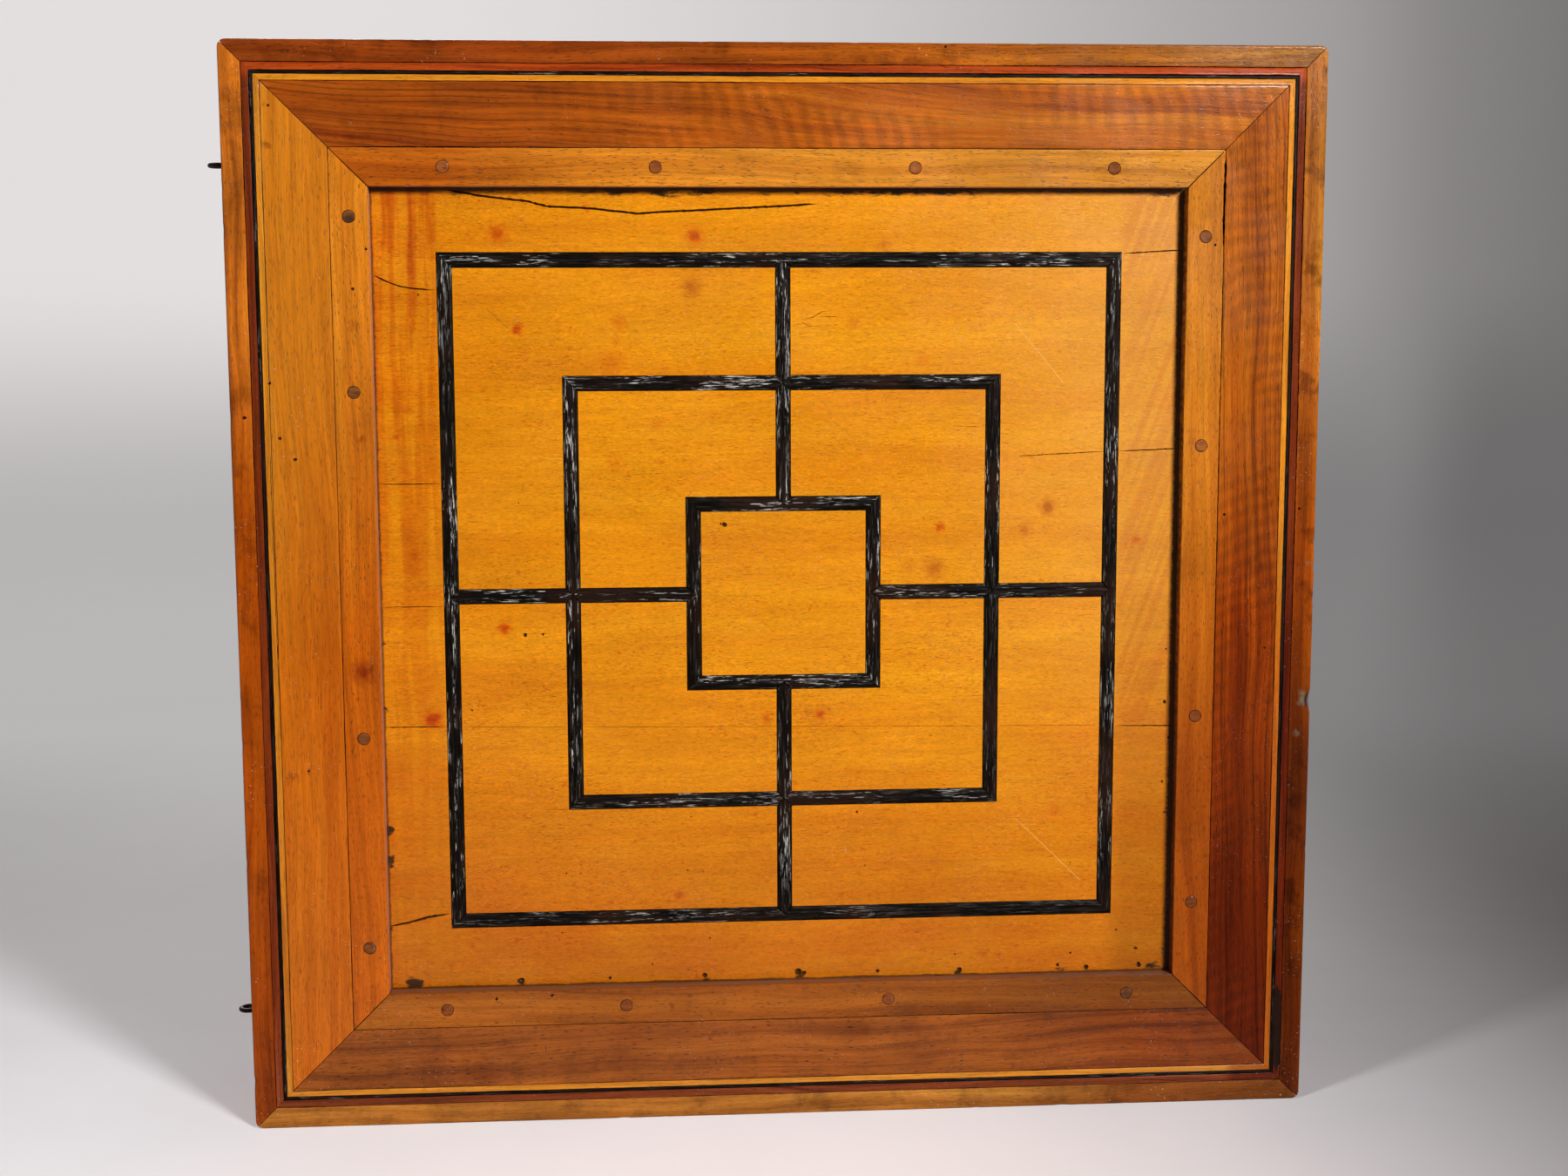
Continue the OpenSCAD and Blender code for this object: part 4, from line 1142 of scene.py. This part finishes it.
def graded(g, colour, axis, stops):
    """Colour whose tint changes along an axis; stops are places and tints of at most 4."""
    low, high = stops[0][0], stops[-1][0]
    share = g.math("DIVIDE", g.minus(g.axes[axis], low), high - low)
    tints = [((at - low) / (high - low), tuple(part / 4 for part in tint)) for at, tint in stops]
    return g.times(g.tint(colour, g.ramp(share, tints)), 4.0)


def rim_look(side):
    """Tints of the rim's face, partly painted light, and the chips of its right side."""
    def look(g, colour):
        on_face = g.span(g.y, *RIM_FADE)
        colour = g.mix(on_face, colour, graded(g, colour, AXES[side], RIM_TINTS[side]))
        if side == RIGHT:
            colour = g.mix(g.product(g.spots(CHIPS), on_face), colour, rgb(112, 100, 78))
        return colour
    return look


def border_look(side):
    """Tints of a border strip, partly painted light, and its stains if it has some."""
    def look(g, colour):
        if side in BORDER_STAINS:
            rows, tint = BORDER_STAINS[side]
            colour = g.tinted(colour, g.spots(rows), tint)
        return graded(g, colour, AXES[side], BORDER_TINTS[side])
    return look


def strip_look(side):
    """Tints of a strip, partly painted light, its stains, and the ledge that faces into the field: dusted
    grey at the bottom, painted dark as shadow at the right, pale and dusted with painted sheen at the left
    and top.
    """
    def look(g, colour):
        colour = graded(g, colour, AXES[side], STRIP_TINTS[side])
        colour = g.tinted(colour, g.spots(STRIP_STAINS), (0.46, 0.24, 0.24))
        # The ledge: painted shadow at the right, painted sheen at the left and top
        ledge = g.product(g.span(g.depth(), 0.15, 0.8), g.span(g.reach(), FIELD + 0.7, FIELD + 0.3))
        ledge_patches = g.span(g.noise(g.place, (7.0, 7.0, 2.0), 3.0, 0.6), 0.3, 0.7, 0.3, 0.9)
        ledge_dust_and_shade = {BOTTOM: rgb(128, 86, 62), RIGHT: (0.012, 0.007, 0.005)}.get(side, rgb(168, 128, 108))
        return g.mix(g.product(ledge, ledge_patches), colour, ledge_dust_and_shade)
    return look


def string_look(stops, low_right_tint):
    """A string is lighter at the top as painted light, as the stops say, and darkest at the lower right."""
    def look(g, colour):
        low_right = g.product(g.span(g.x, 190.0, 196.0), g.span(g.z, 260.0, 180.0))
        return g.tinted(graded(g, colour, 2, stops), low_right, low_right_tint)
    return look


def peg_look(g, colour):
    """Each peg has its own tone: reddish in the top row, greyish at the left, darker low down."""
    colour = g.vary(colour, g.noise(g.place, 75.0, 0.0), 0.35, 0.65, 0.86, 1.2)
    for at, low, high, by in (
            (g.z, 388.0, 384.0, (1.1, 1.15, 0.9)), (g.z, 260.0, 200.0, (0.72, 0.62, 0.6)),
            (g.x, -150.0, -160.0, (0.9, 1.0, 1.3))):
        colour = g.tinted(colour, g.span(at, low, high), by)
    return g.mix(g.spots(DARK_PEGS), colour, (0.05, 0.024, 0.014))


# Materials

def four_woods(name, tones, seed, look=None, own=None, **values):
    """Woods of the four sides of a frame; own has the values in which sides differ."""
    return [wood(f"{name}_{SIDE_NAMES[side]}", GRAIN[side], tones[side], seed + side,
                 extra=look(side) if look else None, **{**values, **(own or {}).get(side, {})})
            for side in range(4)]


def frame_materials():
    rim, border, strip = ([tone(*row) for row in rows] for rows in (RIM_TONES, BORDER_TONES, STRIP_TONES))
    walnut = tone((104, 48, 18), (152, 78, 28), (178, 98, 40))
    return {
        "rim": four_woods("rim_wood", rim, 0, rim_look, {RIGHT: {"grime": 0.8}}, broad=(300, 7), lines=0.2,
                          pitch=1.8, thread=0.13, pores=0.4, clouds=0.2, cloud=(46, 16), specks=0.4,
                          gloss=0.15, relief=0.045, grime=0.5),
        "border": four_woods("border", border, 1, border_look, BORDER_GRAIN),
        "strip": four_woods("strip_wood", strip, 5, strip_look, broad=(260, 7), slant=0.015, lines=0.16,
                            pitch=2.0, thread=0.13, pores=0.5, pore=(2.4, 0.36), clouds=0.09, specks=0.2,
                            grime=0.2),
        "rear_border": four_woods("rear_border", [walnut] * 4, 20, broad=(240, 9), slant=0.02, lines=0.36,
                                  pitch=3.4, curl=0.06, curl_pitch=12.0, clouds=0.14, specks=0.15),
    }


def string_materials():
    red = tone((84, 28, 9), (124, 50, 15), (146, 66, 22))
    light = tone((158, 88, 14), (184, 110, 22), (200, 126, 34))
    return {
        "line": ebony("ebony_lines", "RING", 0.85, 0.12),
        "spoke": ebony("ebony_spokes", "SPOKE", 0.95, 0.12, 1),
        "black_string": ebony("ebony_string", "RING", 0.22, 0.06, 2),
        "red_string": wood("red_string_wood", "RING", red, 40, (120, 2), pores=0.4, gloss=0.16, specks=0.15,
                           extra=string_look(RED_TINTS, (0.5, 0.33, 0.25))),
        "light_string": wood("boxwood", "RING", light, 41, (120, 3), pores=0.3, specks=0.3,
                             extra=string_look(LIGHT_TINTS, (0.7, 0.5, 0.4))),
    }


def inlay_materials():
    dark = tone((64, 30, 12), (98, 50, 22), (124, 68, 32))
    pale = tone((206, 142, 70), (224, 166, 92), (236, 182, 112))
    made = {}
    for key, tones, seed, lines, pitch in (("dark", dark, 43, 0.3, 3.0), ("pale", pale, 44, 0.12, 2.6)):
        made[key] = wood(f"{key}_squares_wood", "X", tones, seed, (160, 8), 0.0, lines, pitch,
                         cells=SQUARES, level=FRAME_T)
        made[key + "_point"] = wood(f"{key}_points_wood", "Z", tones, seed + 2, (160, 8), 0.0, lines, pitch,
                                    cells=POINTS, dirt=0.0)
    return made


def make_materials():
    panel = tone((228, 134, 8), (236, 147, 11), (242, 158, 17))
    peg = tone((112, 54, 22), (142, 76, 32), (160, 92, 44))
    return {
        "panel": wood("field_wood", "X", panel, 10, (150, 14), fibre=0.04, thread=0.06, pores=0.10,
                      pore=(1.8, 0.36), clouds=0.05, level=FRAME_T, specks=0.25, rough=(0.22, 0.32),
                      relief=0.015, extra=field_look),
        "rear_panel": wood("rear_field_wood", "X", panel, 30, (240, 12), 0.0, 0.05, 1.6, fibre=0.05,
                           thread=0.07, pores=0.2, level=FRAME_T, grime=0.12),
        "peg": wood("peg_wood", "X", peg, 42, (6, 2), pores=0.5, extra=peg_look),
        "brass": metal("aged_brass", rgb(150, 116, 58), rgb(70, 48, 24), (0.3, 0.55)),
        "iron": metal("black_iron", rgb(30, 28, 28), rgb(70, 48, 34), (0.4, 0.6)),
        **frame_materials(),
        **string_materials(),
        **inlay_materials(),
    }


def wear_edges(obj, radius):
    bevel = obj.modifiers.new("worn_edges", "BEVEL")
    bevel.width = radius * MM
    bevel.segments = 2
    bevel.limit_method = "ANGLE"
    bevel.angle_limit = math.radians(40)


def crack_plank(name, obj):
    """Cuts the damage of the field into one plank of the panel."""
    low, high = (corner[2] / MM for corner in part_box(name))
    cutter = damage_body(name + "_damage", FIELD_CUTS, FIELD_PITS, FIELD_Y, FIELD_SEED,
                         lambda points: any(low - 9 < z < high + 9 for x, z in points))
    cut_by(obj, cutter, crossing=True)


def dress_nodes(materials):
    """Gives the CAD nodes that stay their finish, worn edges and cracks."""
    for name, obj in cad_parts.items():
        for start, key in NODE_FINISH.items():
            if name.startswith(start):
                obj.data.materials.clear()
                obj.data.materials.append(materials[key])
        if name in BEVELS:
            wear_edges(obj, BEVELS[name])
        if name.startswith("mill_plank"):
            crack_plank(name, obj)


# Stage, lights and camera

def build_backdrop():
    """A round floor that sweeps up to a wall far away on all sides."""
    bm = bmesh.new()
    line = [(r, 0.0) for r in (0.3, 0.8, 1.6, FLOOR_R)]
    line += [(FLOOR_R + SWEEP_R * math.sin(a), SWEEP_R * (1 - math.cos(a)))
             for a in (math.pi / 2 * i / 12 for i in range(1, 13))]
    line += [(FLOOR_R + SWEEP_R, 1.4), (FLOOR_R + SWEEP_R, WALL_TOP)]
    count = 64
    middle = bm.verts.new((0, 0, 0))
    loops = [[bm.verts.new((r * math.cos(a), r * math.sin(a), z)) for a in turns(count)] for r, z in line]
    for i in range(count):
        j = (i + 1) % count
        bm.faces.new((middle, loops[0][i], loops[0][j]))
        for a, b in zip(loops, loops[1:]):
            bm.faces.new((a[i], b[i], b[j], a[j]))
    obj = mesh_object("backdrop", bm, 60)
    obj.data.materials.append(backdrop_paper())
    return obj


def paper_shade(g, wall, right):
    """Painted shade of the paper, 0 to 1: darker to the right, with the edge of a lamp's beam painted on the
    floor.
    """
    beam = g.fit(g.y, -0.40, g.x)
    on_floor = g.plus(g.span(g.x, 0.0, 520.0, 0.0, 0.72), g.span(beam, 180.0, 420.0, 0.0, 0.25))
    on_wall = g.plus(g.span(g.x, -700.0, 2600.0), g.span(g.x, 1250.0, 1500.0, 0.0, 0.08))
    return g.product(g.choose(wall, on_floor, on_wall), g.span(g.y, -1000.0, -450.0),
                     g.span(right, 120.0, 1000.0, 1.0, 0.15))


def paper_colour(g, shade, away, glossy):
    """Colour of the paper under the lamps, with painted shade far off and in front of the object; gloss
    mirrors less of the floor in front of the object.
    """
    colour = g.mix(shade, rgb(230, 227, 229), rgb(112, 106, 106))
    mottled = g.noise(g.place, (260.0, 260.0, 120.0), 4.0, 0.6)
    flagged = g.product(glossy, g.span(g.y, 20.0, -60.0, 0.0, 0.65))
    for factor in (g.span(mottled, 0.3, 0.7, 0.97, 1.03), g.minus(1.0, flagged),
                   g.span(away, 320.0, 1000.0, 1.0, 0.36), g.span(g.y, -420.0, -130.0, 0.5, 1.0)):
        colour = g.times(colour, factor)
    return colour


def paper_glow(g, wall, shade, away, beyond):
    """What the paper shows to a ray that looks at it, plain grey outside the camera's view at rest."""
    floor = g.mix(g.span(g.y, 0.0, 900.0), DIM_GLOW, (0.42, 0.405, 0.405))
    floor = g.times(floor, g.span(shade, 0.0, 1.0, 1.0, 0.33))
    back = g.mix(shade, (0.70, 0.67, 0.665), (0.104, 0.10, 0.099))
    glow = g.mix(wall, floor, g.times(back, g.span(g.y, -1500.0, 300.0, 0.6, 1.0)))
    sideways = g.product(g.span(away, 350.0, 1100.0), g.span(g.y, 300.0, -500.0))
    plain = g.strongest([sideways, g.span(g.strongest(beyond), 120.0, 700.0)])
    return g.mix(plain, glow, (0.46, 0.445, 0.445))


def backdrop_paper():
    """Pale paper with painted shade, darker to the right and far off; its own light shows only to rays that
    look at it.
    """
    g = Graph("backdrop_paper")
    wall = g.span(g.z, 20.0, 480.0)
    path = g.tree.nodes.new("ShaderNodeLightPath").outputs
    # How far a place lies to the right and to the left of what the camera shows at rest
    right = g.fit(g.y, -0.47, g.minus(g.x, 355.0))
    left = g.fit(g.y, -0.31, g.minus(-332.0, g.x))
    shade = paper_shade(g, wall, right)
    away = g.vector("LENGTH", g.vector("MULTIPLY", g.place, (1.0, 1.0, 0.0)))
    colour = paper_colour(g, shade, away, path["Is Glossy Ray"])
    glow = paper_glow(g, wall, shade, away, (left, right))
    # The dim room that gloss mirrors in front of the object
    room = g.mix(g.span(g.y, -700.0, -1800.0), DIM_GLOW, (0.13, 0.125, 0.125))
    mirrored = g.product(g.span(g.size(g.x), 1700.0, 900.0), g.span(g.y, -300.0, -1000.0),
                         g.minus(1.0, path["Is Camera Ray"]))
    glow = g.mix(mirrored, glow, room)
    seen = g.strongest([path["Is Camera Ray"], path["Is Glossy Ray"], path["Is Transmission Ray"]])
    return g.finish(colour, 0.9, **{
        "Emission Color": glow, "Emission Strength": seen, "Specular IOR Level": 0.1})


def area_light(name, stand, target, size, power):
    data = bpy.data.lights.new(name, "AREA")
    data.shape = "RECTANGLE"
    data.size = data.size_y = size
    data.energy = power
    obj = bpy.data.objects.new(name, data)
    obj.location = stand
    way = Vector(target) - Vector(stand)
    obj.rotation_euler = way.to_track_quat("-Z", "Y").to_euler()
    bpy.context.scene.collection.objects.link(obj)
    return obj


def build_light(backdrop):
    """Key and fill, a lamp for the paper alone and one for the back of the object alone."""
    for name, stand, target, size, power, link in LAMPS:
        lamp = area_light(name, stand, target, size, power)
        if link:
            linked = bpy.data.collections.new(name + "_link")
            linked.objects.link(backdrop)
            linked.collection_objects[0].light_linking.link_state = link
            lamp.light_linking.receiver_collection = linked
    world = bpy.data.worlds.new("studio")
    world.use_nodes = True
    background = world.node_tree.nodes["Background"].inputs
    background["Color"].default_value = WORLD_COLOUR
    background["Strength"].default_value = WORLD_STRENGTH
    bpy.context.scene.world = world
    bpy.context.scene.view_settings.view_transform = "Standard"


def build_camera():
    data = bpy.data.cameras.new("camera")
    data.lens = FOCAL_LENGTH
    data.sensor_width = SENSOR_WIDTH
    data.sensor_fit = "HORIZONTAL"
    obj = bpy.data.objects.new("camera", data)
    right, forward = Vector(CAMERA_RIGHT).normalized(), Vector(CAMERA_FORWARD).normalized()
    up = right.cross(forward)
    right = forward.cross(up)
    turn = Matrix((right, up, -forward)).transposed()
    obj.matrix_world = Matrix.Translation(CAMERA_PLACE) @ turn.to_4x4()
    bpy.context.scene.collection.objects.link(obj)
    bpy.context.scene.camera = obj


def main():
    materials = make_materials()
    for front in (True, False):
        build_walls(front, materials["rim"])
        build_borders(front, materials["border" if front else "rear_border"])
    build_strips(materials["strip"])
    build_strings(True, (
        ("mill_red_string", "red_string", materials["red_string"], RIM, BLACK, 0.08),
        ("mill_black_string", "ebonised", materials["black_string"], BLACK, LIGHT, 0.12),
        ("mill_light_string", "light_string", materials["light_string"], LIGHT, BORDER, 0.04)))
    build_strings(False, (
        ("chess_black_string", "ebonised", materials["black_string"], RIM, REAR_LIGHT, 0.1),
        ("chess_light_string", "light_string", materials["light_string"], REAR_LIGHT, REAR_BORDER, 0.05)))
    build_pegs(materials["peg"])
    build_lines(materials["line"], materials["spoke"])
    dress_nodes(materials)
    build_light(build_backdrop())
    build_camera()


main()
